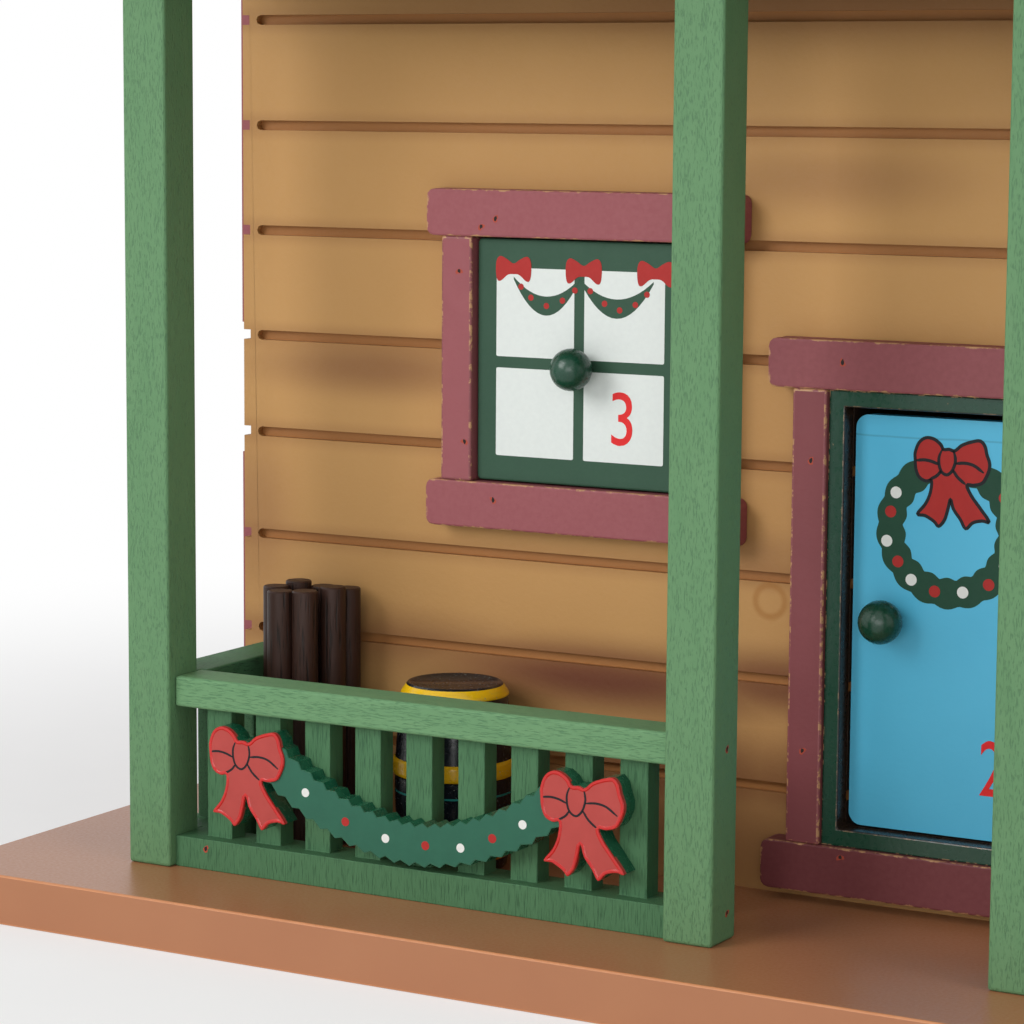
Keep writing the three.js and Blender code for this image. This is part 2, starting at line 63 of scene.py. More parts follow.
def add_node(tree, kind, settings=None, links=None):
    """Adds one node with its settings and links, and returns its first output.
    A setting is an attribute of the node or a socket's name or number; text for a socket is a hex colour."""
    made = tree.nodes.new("ShaderNode" + kind)
    values = dict(settings or {})
    for key in [k for k in values if isinstance(k, str) and hasattr(made, k)]:
        setattr(made, key, values.pop(key))
    sockets = {s.name: s for s in list(made.inputs)[::-1] if s.enabled}
    sockets.update(enumerate(made.inputs))
    for key, value in values.items():
        sockets[key].default_value = paint_colour(value) if isinstance(value, str) else value
    for key, source in (links or {}).items():
        tree.links.new(source, sockets[key])
    return next(s for s in made.outputs if s.enabled)


def put_in_scene(name, data):
    """A new object for the data, at the origin."""
    made = bpy.data.objects.new(name, data)
    bpy.context.scene.collection.objects.link(made)
    return made


def start_finish(name, rough, **shader):
    """A new material, its tree and the object coordinates in millimetres."""
    material = bpy.data.materials.new(name)
    material.use_nodes = True
    tree = material.node_tree
    surface = tree.nodes["Principled BSDF"]
    surface.inputs["Roughness"].default_value = rough
    for key, value in shader.items():
        surface.inputs[key.replace("_", " ")].default_value = value
    where = add_node(tree, "TexCoord").node.outputs["Object"]
    place = add_node(tree, "VectorMath", {"operation": "SCALE", "Scale": 1 / MM}, {"Vector": where})
    return material, tree, place


def apart(tree, value, middle):
    """How far a value lies from a middle, to either side."""
    off = add_node(tree, "Math", {"operation": "SUBTRACT", 1: middle}, {0: value})
    return add_node(tree, "Math", {"operation": "ABSOLUTE"}, {0: off})


def gather(tree, operation, values):
    """The largest or smallest of several values."""
    result = values[0]
    for value in values[1:]:
        result = add_node(tree, "Math", {"operation": operation}, {0: result, 1: value})
    return result


def two_tones(tree, place, light, dark, grain_mm, detail):
    """A noise of the given grain, and the colour that it blends between two tones."""
    noise = add_node(tree, "TexNoise", {"Scale": 1 / grain_mm, "Detail": detail}, {"Vector": place})
    return noise, add_node(tree, "Mix", {**COLOUR, "A": light, "B": dark}, {"Factor": noise})


def coat(material, tree, colour, height, rough, bump_mm):
    """Feeds the shader with the colour, a roughness that follows the height pattern, and that pattern
    as bump at its real depth."""
    surface = tree.nodes["Principled BSDF"]
    swing = {"From Min": 0.3, "From Max": 0.7, "To Min": rough - GLOSS_SWING, "To Max": rough + GLOSS_SWING}
    gloss = add_node(tree, "MapRange", swing, {"Value": height})
    relief = add_node(tree, "Bump", {"Strength": 0.6, "Distance": bump_mm * MM}, {"Height": height})
    for source, socket in ((colour, "Base Color"), (gloss, "Roughness"), (relief, "Normal")):
        tree.links.new(source, surface.inputs[socket])
    return material


# Sizes in millimetres, the same as in the model. Heights are from the base board's top

BASE_TOP = 12.0

# Walls: half the front's width, the front and rear faces, the ridge between them, the routed grooves
HALF_WALL = 190.6
WALL_FRONT, WALL_REAR = -59.0, 121.0
RIDGE_Y = (WALL_FRONT + WALL_REAR) / 2
GROOVES = (23.4, 48.7, 72.5, 98.3, 122.5, 148.6, 174.5, 200.3, 225.7, 251.1, 276.4, 301.8, 327.1, 352.5, 377.8)
GROOVE_HIGH = 2.4

# Drawer openings: their sizes, and where each row and column of them lies
OPENING = (57.7, 58.5)
SMALL = (28.0, 28.0)
WINDOW_X = 91.85
LOWER_SILL, UPPER_SILL = 91.7, 251.2
SIDE_SILLS = (23.2, 137.2, 251.2)
SIDE_OFFSET = 44.0
SMALL_SILL = 346.0
DORMER_FRONT = -60.0
DORMERS = (-130.0, -45.0, 45.0, 130.0)

# Casing boards of window 3 and of the door
TRIM_FRONT = -65.6
BOARD_HIGH = 11.2
CASING_HALF = 41.5
DOOR_TRIM_HALF = 42.8
DOOR_HEAD = 118.4
DOOR_SILL, DOOR_SILL_HIGH = 2.5, 11.4
DOORWAY_HALF, DOORWAY_LOW, DOORWAY_HIGH = 24.2, 17.9, 114.6
DOOR_PROUD = 0.9

# Porch: faces of the second post, the bottom rail and the balusters; the garland on them
POST_SIDE = -31.8
RAIL_FRONT = -110.6
BALUSTER_FRONT = -107.0
GARLAND_THICK = 5.0
KNOTS = ((-155.3, 29.5), (-65.8, 28.8))
BAY_SHIFT = 219.4


# Shapes

INK_ROOT = 0.05
SHARP_DEGREES = 40


class Shape:
    """Collects closed shells in millimetres. seat maps local (across, outwards, up) to the model's axes."""

    def __init__(self, seat=None):
        self.points, self.faces, self.slots = [], [], []
        self.count = 0
        self.seat = seat or (lambda p: p)

    def add(self, points, faces, slot):
        """Takes a shell whose faces are lists of point numbers."""
        self.points.append(self.seat(np.asarray(points, float)))
        self.faces += [[i + self.count for i in face] for face in faces]
        self.slots += [slot] * len(faces)
        self.count += len(points)

    def loft(self, rows, slot=0, ends="capped"):
        """Closed loops joined row by row with quads. The ends are capped, joined to each other, or open
        where they shrink to a pole."""
        rows = np.asarray(rows, float)
        count, n = rows.shape[:2]
        first = np.arange(count if ends == "joined" else count - 1)[:, None]
        after = (first + 1) % count
        i = np.arange(n)
        j = (i + 1) % n
        quads = np.stack([i + first * n, j + first * n, j + after * n, i + after * n], axis=2).reshape(-1, 4)
        faces = quads.tolist()
        if ends == "capped":
            faces += [i[::-1].tolist(), (i + (count - 1) * n).tolist()]
        self.add(rows.reshape(-1, 3), faces, slot)

    def prism(self, outline, near, far, slot=0):
        """A plate: the outline (across, up) at two distances from the wall."""
        flat = np.asarray(outline, float)
        self.loft([np.insert(flat, 1, d, axis=1) for d in (near, far)], slot)

    def ink(self, outline, face, proud, slot):
        """A printed patch: a thin plate rooted in the face. Each colour over another stands more proud."""
        self.prism(outline, face - INK_ROOT, face + proud, slot)

    def ring(self, outer, inner, face, proud, slot):
        """A printed patch between two outlines with the same number of points."""
        near, far = face - INK_ROOT, face + proud
        rows = ((outer, near), (outer, far), (inner, far), (inner, near))
        self.loft([np.insert(line, 1, d, axis=1) for line, d in rows], slot, "joined")

    def turned(self, profile, centre, steps, outwards=False):
        """A lathe: each (radius, height) of the profile becomes the circle radius cos a, radius sin a,
        height. Its axis points up, or outwards from the wall."""
        rim = np.asarray(profile, float)
        angle = np.arange(steps) * 2 * np.pi / steps
        rows = np.stack([rim[:, :1] * np.cos(angle), rim[:, :1] * np.sin(angle),
                         np.repeat(rim[:, 1:], steps, axis=1)], axis=2)
        if outwards:
            rows = rows[..., [1, 2, 0]]
        self.loft(rows + np.asarray(centre, float), 0, "poles")

    def tray(self, half, near, far, low, high, wall):
        """An open box: the outer rectangle up from the floor, over the rim and down inside to the floor."""
        def corners(inset, z):
            x, a, b = half - inset, near + inset, far - inset
            return [(-x, a, z), (x, a, z), (x, b, z), (-x, b, z)]
        self.loft([corners(0, low), corners(0, high), corners(wall, high), corners(wall, low + wall)])

    def piece(self, name, body, record_slot, finishes, bevel=0.0, smooth=False, replaces=()):
        """Makes one piece of everything collected."""
        mesh = bpy.data.meshes.new(name)
        mesh.from_pydata((np.vstack(self.points) * MM).tolist(), [], self.faces)
        mesh.polygons.foreach_set("material_index", np.array(self.slots, np.int32))
        mesh.polygons.foreach_set("use_smooth", np.full(len(self.faces), smooth))
        work = bmesh.new()
        work.from_mesh(mesh)
        bmesh.ops.remove_doubles(work, verts=work.verts, dist=1e-7)
        bmesh.ops.recalc_face_normals(work, faces=work.faces)
        work.to_mesh(mesh)
        work.free()
        made = place_piece(name, mesh, body, finishes, replaces)
        if bevel:
            round_edges(made, bevel)
        return made


def place_piece(name, mesh, body, finishes, replaces):
    """Puts the object at the origin, gives it its finishes and rides it on its body."""
    for finish in finishes:
        mesh.materials.append(finish)
    made = put_in_scene(name, mesh)
    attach(made, body)
    if replaces:
        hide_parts(*replaces)
    return made


def round_edges(made, width, edge_slot=-1, steps=2):
    """Sands each sharp edge to the width. The new faces take the edge slot's finish, or their neighbour's."""
    soft = made.modifiers.new("sanded_edges", "BEVEL")
    soft.width = width * MM
    soft.segments = steps
    soft.limit_method = "ANGLE"
    soft.angle_limit = np.radians(SHARP_DEGREES)
    soft.material = edge_slot


def dress(node, finishes, width=0.0, edge_slot=-1, steps=2, body="house"):
    """A merged copy of a CAD node with sanded edges, which then stands for it."""
    work = bmesh.new()
    work.from_mesh(frame["nodes"][node].data)
    bmesh.ops.remove_doubles(work, verts=work.verts, dist=1e-6)
    bmesh.ops.dissolve_limit(work, angle_limit=0.01, verts=work.verts, edges=work.edges)
    mesh = bpy.data.meshes.new(node + "_finished")
    work.to_mesh(mesh)
    work.free()
    mesh.polygons.foreach_set("material_index", np.zeros(len(mesh.polygons), np.int32))
    mesh.polygons.foreach_set("use_smooth", np.zeros(len(mesh.polygons), bool))
    made = place_piece(node + "_finished", mesh, body, finishes, (node,))
    if width:
        round_edges(made, width, edge_slot, steps)


def front_seat(centre, sill, plane=WALL_FRONT):
    """On a plane of the front: across runs to the right, outwards to the viewer."""
    return lambda p: np.column_stack([p[:, 0] + centre, plane - p[:, 1], p[:, 2] + BASE_TOP + sill])


def left_seat(centre, sill):
    """On the left wall: across runs to the front."""
    return lambda p: np.column_stack([-HALF_WALL - p[:, 1], centre - p[:, 0], p[:, 2] + BASE_TOP + sill])


def right_seat(centre, sill, plane=HALF_WALL):
    """On the right wall, or another plane that faces right: across runs to the back."""
    return lambda p: np.column_stack([plane + p[:, 1], centre + p[:, 0], p[:, 2] + BASE_TOP + sill])


def disc(x, z, radius, steps=16):
    """Circle: x + r cos a, z + r sin a."""
    angle = np.arange(steps) * 2 * np.pi / steps
    return np.column_stack([x + radius * np.cos(angle), z + radius * np.sin(angle)])


def rounded(x0, x1, z0, z1, radius, steps=5):
    """Rectangle whose corners are quarter circles, counter-clockwise from the lower right."""
    centres = np.array([(x1 - radius, z0 + radius), (x1 - radius, z1 - radius),
                        (x0 + radius, z1 - radius), (x0 + radius, z0 + radius)])
    angle = np.radians(np.array([-90, 0, 90, 180])[:, None] + np.linspace(0, 90, steps))
    arcs = centres[:, None] + radius * np.stack([np.cos(angle), np.sin(angle)], axis=2)
    return arcs.reshape(-1, 2)


def smooth_line(points, steps=6, closed=False):
    """A Catmull-Rom curve: one cubic from each point to the next, and the slope at a point is half the way
    between its neighbours."""
    p = np.asarray(points, float)
    if closed:
        p = np.vstack([p[-1], p, p[0], p[1]])
    else:
        p = np.vstack([2 * p[0] - p[1], p, 2 * p[-1] - p[-2]])
    t = (np.arange(steps) / steps)[None, :, None]
    a, b, c, d = (p[i:len(p) - 3 + i, None, :] for i in range(4))
    bend = (2 * a - 5 * b + 4 * c - d) * t ** 2 + (3 * b - a - 3 * c + d) * t ** 3
    curve = (0.5 * (2 * b + (c - a) * t + bend)).reshape(-1, 2)
    return curve if closed else np.vstack([curve, p[-2]])


def stroke(points, width):
    """Outline of a brush line: the path offset to both sides, narrowed at its ends."""
    p = np.asarray(points, float)
    along = np.gradient(p, axis=0)
    along /= np.linalg.norm(along, axis=1)[:, None]
    side = np.column_stack([-along[:, 1], along[:, 0]])
    t = np.linspace(0, 1, len(p))
    half = (width / 2 * np.minimum(1, 0.45 + 4 * np.minimum(t, 1 - t)))[:, None]
    return np.vstack([p - side * half, (p + side * half)[::-1]])


def set_off(outline, distance):
    """A clockwise closed outline moved outwards along its normals, or inwards for a negative distance."""
    p = np.asarray(outline, float)
    along = np.roll(p, -1, axis=0) - np.roll(p, 1, axis=0)
    along /= np.linalg.norm(along, axis=1)[:, None]
    return p + np.column_stack([-along[:, 1], along[:, 0]]) * distance


# Finishes: craft paints, stains and lacquers on fibreboard and beech

TAN = ("#c3955c", "#b1834b")
MAROON = ("#985459", "#8e4b50")
BARE_WOOD = "#b5875e"
BARE_BOARD = "#a98a68"
# Raw board painted dark as shade, deep in the gap round the door
RAW_EDGE_IN_PAINTED_SHADE = "#33241a"
# How little the craft paints, prints and inks mirror
CRAFT = {"Specular_IOR_Level": 0.35}
PRINT = {"Specular_IOR_Level": 0.3}
INK = {"Specular_IOR_Level": 0.25}

# Soft red-brown ovals on the front wall, partly airbrush shading that the house has and partly painted shade
# where the porch roof and the railing cast shadow: x, height above the base, half width, half height, strength
SHADES = (
    (-20, 212, 150, 20, 0.75), (-120, 212, 80, 16, 0.5), (-152, 117, 44, 9, 0.6), (-150, 50, 60, 10, 0.5),
    (-88, 46, 66, 11, 1.0), (-70, 26, 50, 16, 0.8), (-100, 12, 110, 22, 0.7), (-186, 78, 14, 26, 0.35),
    (-42, 49, 30, 10, 0.9), (-40, 26, 24, 14, 0.6), (-46, 78, 16, 8, 0.35), (-30, 165, 40, 9, 0.35),
    (60, 110, 60, 20, 0.4), (120, 20, 90, 24, 0.7), (80, 44, 60, 10, 0.7), (130, 212, 80, 18, 0.5),
    (90, 190, 50, 10, 0.3),
)
# A faint amber ring beside the door: x, height above the base, radius
AMBER_RING = (-44.3, 68.2, 3.7)
# Ovals on the wall reach through it: only x and height decide
THROUGH = 400


def doorway(tree, split):
    """One inside the doorway's opening and on its sawn sides, zero outside it. Those raw sides are painted
    dark as shade in the gap round the door.
    """
    inner = []
    spans = (("X", -DOORWAY_HALF, DOORWAY_HALF), ("Z", BASE_TOP + DOORWAY_LOW, BASE_TOP + DOORWAY_HIGH))
    for axis, low, high in spans:
        half = (high - low) / 2
        edge = {"From Min": half + 0.4, "From Max": half + 0.1}
        inner.append(add_node(tree, "MapRange", edge, {"Value": apart(tree, split[axis], low + half)}))
    return gather(tree, "MINIMUM", inner)


def airbrushed(tree, place):
    """The strongest of the soft ovals of airbrush shading and painted shade: each is full at its middle and
    gone a little past its rim.
    """
    ovals = []
    for x, high, wide, tall, strength in SHADES:
        oval = {"vector_type": "TEXTURE", "Location": (x, WALL_FRONT, BASE_TOP + high),
                "Scale": (wide, THROUGH, tall)}
        spot = add_node(tree, "Mapping", oval, {"Vector": place})
        far = add_node(tree, "VectorMath", {"operation": "LENGTH"}, {"Vector": spot})
        fall = {**SMOOTH, "From Min": 1.15, "From Max": 0.1, "To Max": strength}
        ovals.append(add_node(tree, "MapRange", fall, {"Value": far}))
    return gather(tree, "MAXIMUM", ovals)


def groove_dusk(tree, height):
    """A soft darkening near each groove, from the distance to the nearest one: partly airbrush shading and
    partly painted shade at the groove's edge.
    """
    near = gather(tree, "MINIMUM", [apart(tree, height, BASE_TOP + low + GROOVE_HIGH / 2) for low in GROOVES])
    fall = {**SMOOTH, "From Min": 4.5, "From Max": 1.0, "To Max": 0.3}
    return add_node(tree, "MapRange", fall, {"Value": near})


def amber_ring(tree, place):
    """A thin soft ring: strongest where the distance from its middle is its radius."""
    x, high, radius = AMBER_RING
    circle = {"vector_type": "TEXTURE", "Location": (x, WALL_FRONT, BASE_TOP + high),
              "Scale": (radius, THROUGH, radius)}
    ring = add_node(tree, "Mapping", circle, {"Vector": place})
    ring = add_node(tree, "VectorMath", {"operation": "LENGTH"}, {"Vector": ring})
    fall = {"From Min": 0.32, "From Max": 0.08, "To Max": 0.5}
    return add_node(tree, "MapRange", fall, {"Value": apart(tree, ring, 1.0)})


def beyond(tree, split, inset, fade):
    """One deeper in the front and side walls than the inset plus the fade, zero nearer than the inset.
    Negative values give one in front of any of them."""
    side = add_node(tree, "Math", {"operation": "ABSOLUTE"}, {0: split["X"]})
    front_span = {"From Min": WALL_FRONT + inset, "From Max": WALL_FRONT + inset + fade}
    side_span = {"From Min": HALF_WALL - inset, "From Max": HALF_WALL - inset - fade}
    front = add_node(tree, "MapRange", front_span, {"Value": split["Y"]})
    sides = add_node(tree, "MapRange", side_span, {"Value": side})
    return gather(tree, "MINIMUM" if inset > 0 else "MAXIMUM", [front, sides])


def wall_finish():
    """Airbrushed craft paint on routed fibreboard: even tan boards, red-brown shading that is partly airbrush
    work and partly painted shade, brown raw grooves.
    The casings that are one piece with the wall stand proud of it and are painted maroon."""
    material, tree, place = start_finish("craft_paint_tan_with_painted_shade", 0.6, **CRAFT)
    split = add_node(tree, "SeparateXYZ", None, {"Vector": place}).node.outputs
    _, tone = two_tones(tree, place, *TAN, 60, 3)
    # Over the tan: ovals of airbrush shading and painted shade, darkening beside the grooves that is partly
    # painted shade, an amber stain ring, and the raw board in grooves and openings
    layers = ((airbrushed(tree, place), "#6c3b22"), (groove_dusk(tree, split["Z"]), "#8a5a32"),
              (amber_ring(tree, place), "#9c6424"), (beyond(tree, split, 0.5, 0.7), "#a26d3a"))
    for factor, hue in layers:
        tone = add_node(tree, "Mix", {**COLOUR, "B": hue}, {"A": tone, "Factor": factor})
    speckle, maroon = two_tones(tree, place, "#8b4a4f", "#98565b", 1.1, 2)
    proud = beyond(tree, split, -0.1, -0.2)
    tone = add_node(tree, "Mix", {**COLOUR}, {"A": tone, "B": maroon, "Factor": proud})
    # Painted shade: the doorway's raw sawn sides are dark as the gap round the door
    raw = doorway(tree, split)
    tone = add_node(tree, "Mix", {**COLOUR, "B": RAW_EDGE_IN_PAINTED_SHADE}, {"A": tone, "Factor": raw})
    return coat(material, tree, tone, speckle, 0.6, 0.1)


def even_paint(name, light, dark, drift_mm, rough, grit_mm=0.9, bump_mm=0.05, **shader):
    """Sprayed or printed colour that drifts slowly between two close tones, with a fine grit in its skin."""
    material, tree, place = start_finish(name, rough, **shader)
    _, tone = two_tones(tree, place, light, dark, drift_mm, 4)
    grit = add_node(tree, "TexNoise", {"Scale": 1 / grit_mm, "Detail": 2}, {"Vector": place})
    return coat(material, tree, tone, grit, rough, bump_mm)


def grained_paint(name, axis, light, dark, pore, rough=0.6, pore_mm=0.3, length=5.0):
    """Thin paint or stain on wood: short open pores run along the stick and hold a darker colour."""
    material, tree, place = start_finish(name, rough, **CRAFT)
    stretch = np.ones(3)
    stretch[axis] = 1 / length
    along = add_node(tree, "VectorMath", {"operation": "MULTIPLY", 1: tuple(stretch)}, {0: place})
    _, tone = two_tones(tree, along, light, dark, 3.0, 3)
    pores = add_node(tree, "TexNoise", {"Scale": 1 / pore_mm, "Detail": 2}, {"Vector": along})
    level = add_node(tree, "MapRange", {"From Min": 0.68, "From Max": 0.54}, {"Value": pores})
    tone = add_node(tree, "Mix", {**COLOUR, "A": pore}, {"B": tone, "Factor": level})
    return coat(material, tree, tone, level, rough, 0.15)


END_RIM, EDGE_RIM = 2.4, 1.3


def worn_board(name, light, dark, centre, half, low, high):
    """Maroon craft paint on a sanded board: bare wood shows in a broken rim round the face, wider at the
    ends. The rim is where the distance to the nearest edge, plus some noise, is small."""
    material, tree, place = start_finish(name, 0.55, **CRAFT)
    split = add_node(tree, "SeparateXYZ", None, {"Vector": place}).node.outputs
    speckle, tone = two_tones(tree, place, light, dark, 1.2, 3)
    inwards = []
    for axis, middle, reach, wide in (("X", centre, half, END_RIM),
                                      ("Z", BASE_TOP + low + high / 2, high / 2, EDGE_RIM)):
        span = {"clamp": False, "From Min": reach, "From Max": reach - wide}
        inwards.append(add_node(tree, "MapRange", span, {"Value": apart(tree, split[axis], middle)}))
    rim = add_node(tree, "Math", {"operation": "SMOOTH_MIN", 2: 0.9}, {0: inwards[0], 1: inwards[1]})
    patch = add_node(tree, "TexNoise", {"Scale": 1 / 2.6, "Detail": 4, "Roughness": 0.65}, {"Vector": place})
    wander = {"From Min": 0.35, "From Max": 0.65, "To Min": -0.2, "To Max": 0.36}
    patch = add_node(tree, "MapRange", wander, {"Value": patch})
    rim = add_node(tree, "Math", {"operation": "ADD"}, {0: rim, 1: patch})
    bare = add_node(tree, "MapRange", {"From Min": 0.26, "From Max": 0.06}, {"Value": rim})
    near_face = {"From Min": TRIM_FRONT + 0.6, "From Max": TRIM_FRONT + 0.35}
    face = add_node(tree, "MapRange", near_face, {"Value": split["Y"]})
    bare = add_node(tree, "Math", {"operation": "MULTIPLY"}, {0: bare, 1: face})
    tone = add_node(tree, "Mix", {**COLOUR, "B": BARE_WOOD}, {"A": tone, "Factor": bare})
    return coat(material, tree, tone, speckle, 0.55, 0.08)


def chipped_paint(name, light, dark, bare, cover, rough):
    """Gloss paint that has chipped off its board wherever a patchy noise passes the cover level.
    The inner sides of the doorway are raw board, painted dark as shade in the gap round the door."""
    material, tree, place = start_finish(name, rough)
    speckle, tone = two_tones(tree, place, light, dark, 1.4, 2)
    patch = add_node(tree, "TexNoise", {"Scale": 1 / 1.8, "Detail": 4, "Roughness": 0.65}, {"Vector": place})
    chip = add_node(tree, "MapRange", {"From Min": cover - 0.03, "From Max": cover + 0.03}, {"Value": patch})
    tone = add_node(tree, "Mix", {**COLOUR, "B": bare}, {"A": tone, "Factor": chip})
    raw = doorway(tree, add_node(tree, "SeparateXYZ", None, {"Vector": place}).node.outputs)
    tone = add_node(tree, "Mix", {**COLOUR, "B": RAW_EDGE_IN_PAINTED_SHADE}, {"A": tone, "Factor": raw})
    return coat(material, tree, tone, speckle, rough, 0.08)


# Painted bands of the barrel: from, to, colour
BARREL_BANDS = ((3.2, 9.1, "#cf8a14"), (18.7, 19.15, "#2a8c86"), (22.9, 26.9, "#f0ba16"),
                (41.9, 44.3, "#fcc912"))


def barrel_finish():
    """Gloss lacquer on turned beech: black body, yellow hoops brushed round it, a teal hairline and a black
    lid, with specks of dust."""
    material, tree, place = start_finish("gloss_lacquer_on_turned_beech", 0.22)
    height = add_node(tree, "SeparateXYZ", None, {"Vector": place}).node.outputs["Z"]
    grit, tone = two_tones(tree, place, "#0b1016", "#161d27", 1.2, 2)
    brushed = add_node(tree, "VectorMath", {"operation": "MULTIPLY", 1: (0.12, 0.12, 1.4)}, {0: place})
    streak = add_node(tree, "TexNoise", {"Scale": 1.0, "Detail": 3}, {"Vector": brushed})
    thin = {"From Min": 0.5, "From Max": 0.75, "To Min": 1.0, "To Max": 0.86}
    cover = add_node(tree, "MapRange", thin, {"Value": streak})
    for low, high, hue in BARREL_BANDS:
        half = (high - low) / 2
        off = apart(tree, height, BASE_TOP + low + half)
        band = add_node(tree, "MapRange", {"From Min": half + 0.05, "From Max": half - 0.02}, {"Value": off})
        band = add_node(tree, "Math", {"operation": "MULTIPLY"}, {0: band, 1: cover})
        tone = add_node(tree, "Mix", {**COLOUR, "B": hue}, {"A": tone, "Factor": band})
    dust = add_node(tree, "TexNoise", {"Scale": 1 / 0.55, "Detail": 1}, {"Vector": place})
    dust = add_node(tree, "MapRange", {"From Min": 0.68, "From Max": 0.74, "To Max": 0.5}, {"Value": dust})
    tone = add_node(tree, "Mix", {**COLOUR, "B": "#8f9488"}, {"A": tone, "Factor": dust})
    return coat(material, tree, tone, grit, 0.22, 0.04)


BRUSH_RIDGE = DOOR_HEAD - 9.4


def door_finish():
    """Satin sky blue sprayed on fibreboard, with one faint brush ridge along its top that wavers a little."""
    material, tree, place = start_finish("satin_sky_blue_on_fibreboard", 0.42)
    height = add_node(tree, "SeparateXYZ", None, {"Vector": place}).node.outputs["Z"]
    drift, tone = two_tones(tree, place, "#57c0e4", "#48b0d6", 26, 3)
    wavy = add_node(tree, "Math", {"operation": "MULTIPLY_ADD", 1: 1.6}, {0: drift, 2: height})
    line = apart(tree, wavy, BASE_TOP + BRUSH_RIDGE)
    line = add_node(tree, "MapRange", {"From Min": 0.3, "From Max": 0.08, "To Max": 0.6}, {"Value": line})
    tone = add_node(tree, "Mix", {**COLOUR, "B": "#3b8fae"}, {"A": tone, "Factor": line})
    grit = add_node(tree, "TexNoise", {"Scale": 1 / 1.5, "Detail": 3}, {"Vector": place})
    return coat(material, tree, tone, grit, 0.42, 0.06)


# Airbrushed craft paint on fibreboard: dull, with a fine tooth and tones that drift; the front wall also has
# painted shade under the porch roof, behind the railing and beside the grooves
wall_paint = wall_finish()
back_paint = even_paint("craft_paint_tan_on_back_board", *TAN, 70, 0.6, **CRAFT)
# Brushed craft paint on sanded boards: dull maroon, rubbed through to the wood along the long boards
jamb_paint = even_paint("craft_paint_maroon_on_jamb", *MAROON, 5, 0.55, 1.2, 0.08, **CRAFT)
door_jamb_paint = even_paint("craft_paint_deep_maroon_on_jamb", "#844549", "#753b3e", 14, 0.55, 1.2, 0.08,
                             **CRAFT)
head_board = worn_board("worn_maroon_window_head", *MAROON, -WINDOW_X, CASING_HALF,
                        LOWER_SILL + OPENING[1], BOARD_HIGH)
sill_board = worn_board("worn_maroon_window_sill", *MAROON, -WINDOW_X, CASING_HALF,
                        LOWER_SILL - BOARD_HIGH, BOARD_HIGH)
door_head_board = worn_board("worn_maroon_door_head", "#8e4c50", "#804347", 0.0, DOOR_TRIM_HALF,
                             DOOR_HEAD, BOARD_HIGH)
# The door sill's maroon is darker than the head's: painted shade at the foot of the door
door_sill_board_painted_shade = worn_board("worn_maroon_door_sill_painted_shade", "#743a3d", "#672f32", 0.0, DOOR_TRIM_HALF,
                             DOOR_SILL, DOOR_SILL_HIGH)
# Rolled satin paint on fibreboard: soft mirror of the posts; its rounded edges are a lighter orange, partly
# rubbed wear and partly painted highlight
base_paint = even_paint("satin_paint_brown_on_fibreboard", "#ad7550", "#a06746", 34, 0.34, 0.8, 0.008)
base_edge_wear_and_highlight = even_paint("rubbed_edge_and_painted_highlight_of_base_board", "#c9885a", "#b67548", 5, 0.4)
# Thin water paint on sawn softwood: open pores stay as short darker flecks along each stick
post_paint = grained_paint("thin_green_paint_on_upright_softwood", 2, "#628960", "#588259", "#4f7652")
rail_paint = grained_paint("thin_green_paint_on_level_softwood", 0, "#6b9569", "#5e8a60", "#537f58",
                           0.6, 0.25, 9.0)
# The balusters and bottom rails: a deeper green than the top rails, and darker still as painted shade under
# them
baluster_paint_with_painted_shade = grained_paint("thin_green_paint_on_balusters_painted_shade", 2, "#4a7751", "#3f6a47", "#315b3c",
                               0.6, 0.28, 16.0)
# The side rails: darker green as painted shade behind the posts
side_rail_painted_shade = grained_paint("thin_green_paint_on_side_rail_painted_shade", 1, "#507f57", "#44724d", "#31553b",
                           0.6, 0.25, 9.0)
# Gloss enamel on fibreboard and turned beech: wet-looking highlights, chips down to the board
surround_paint = chipped_paint("gloss_dark_green_on_fibreboard", "#1a4634", "#143c2b", BARE_BOARD, 0.74, 0.3)
surround_edge = chipped_paint("chipped_edge_of_surround", "#1c4333", "#163a2a", BARE_BOARD, 0.56, 0.3)
jamb_edge = chipped_paint("rubbed_edge_of_maroon_jamb", "#8e4b50", "#7d4145", BARE_WOOD, 0.55, 0.5)
door_paint = door_finish()
knob_paint = even_paint("gloss_dark_green_on_turned_ball", "#1b4a37", "#143d2c", 5, 0.27, 0.9, 0.1)
# Screen inks on the painted fronts: flat and even, a hair proud, with a faint tooth
panel_paint = even_paint("matt_green_print_on_fibreboard", "#31523f", "#2a4a38", 10, 0.55,
                         **PRINT)
pane_ink = even_paint("white_screen_ink", "#e2e7e3", "#d9dedb", 1.2, 0.55, **INK)
red_ink = even_paint("red_screen_ink", "#b22f2b", "#a32825", 3, 0.55, **INK)
number_ink = even_paint("bright_red_screen_ink", "#e22b2c", "#d82728", 3, 0.55, **INK)
line_ink = even_paint("dark_line_ink", "#1b1d22", "#121418", 4, 0.55, **INK)
leaf_ink = even_paint("dark_green_screen_ink", "#1f4a37", "#193f2e", 3, 0.55, **INK)
white_ink = even_paint("white_dot_ink", "#e6e8e4", "#dadcd8", 2, 0.5)
# Garland board: printed face, dipped in gloss enamel round its sawn edges
swag_ink = even_paint("green_print_on_garland", "#2b6650", "#235946", 4, 0.5, **PRINT)
swag_edge = even_paint("gloss_green_edge_of_garland", "#1f6549", "#165038", 3, 0.25, 1.2, 0.1)
bow_ink = even_paint("red_print_on_bow", "#b64943", "#a73f3a", 4, 0.5, **PRINT)
bow_rim = even_paint("gloss_red_rim_of_bow", "#cc2420", "#b81c1a", 2, 0.18)
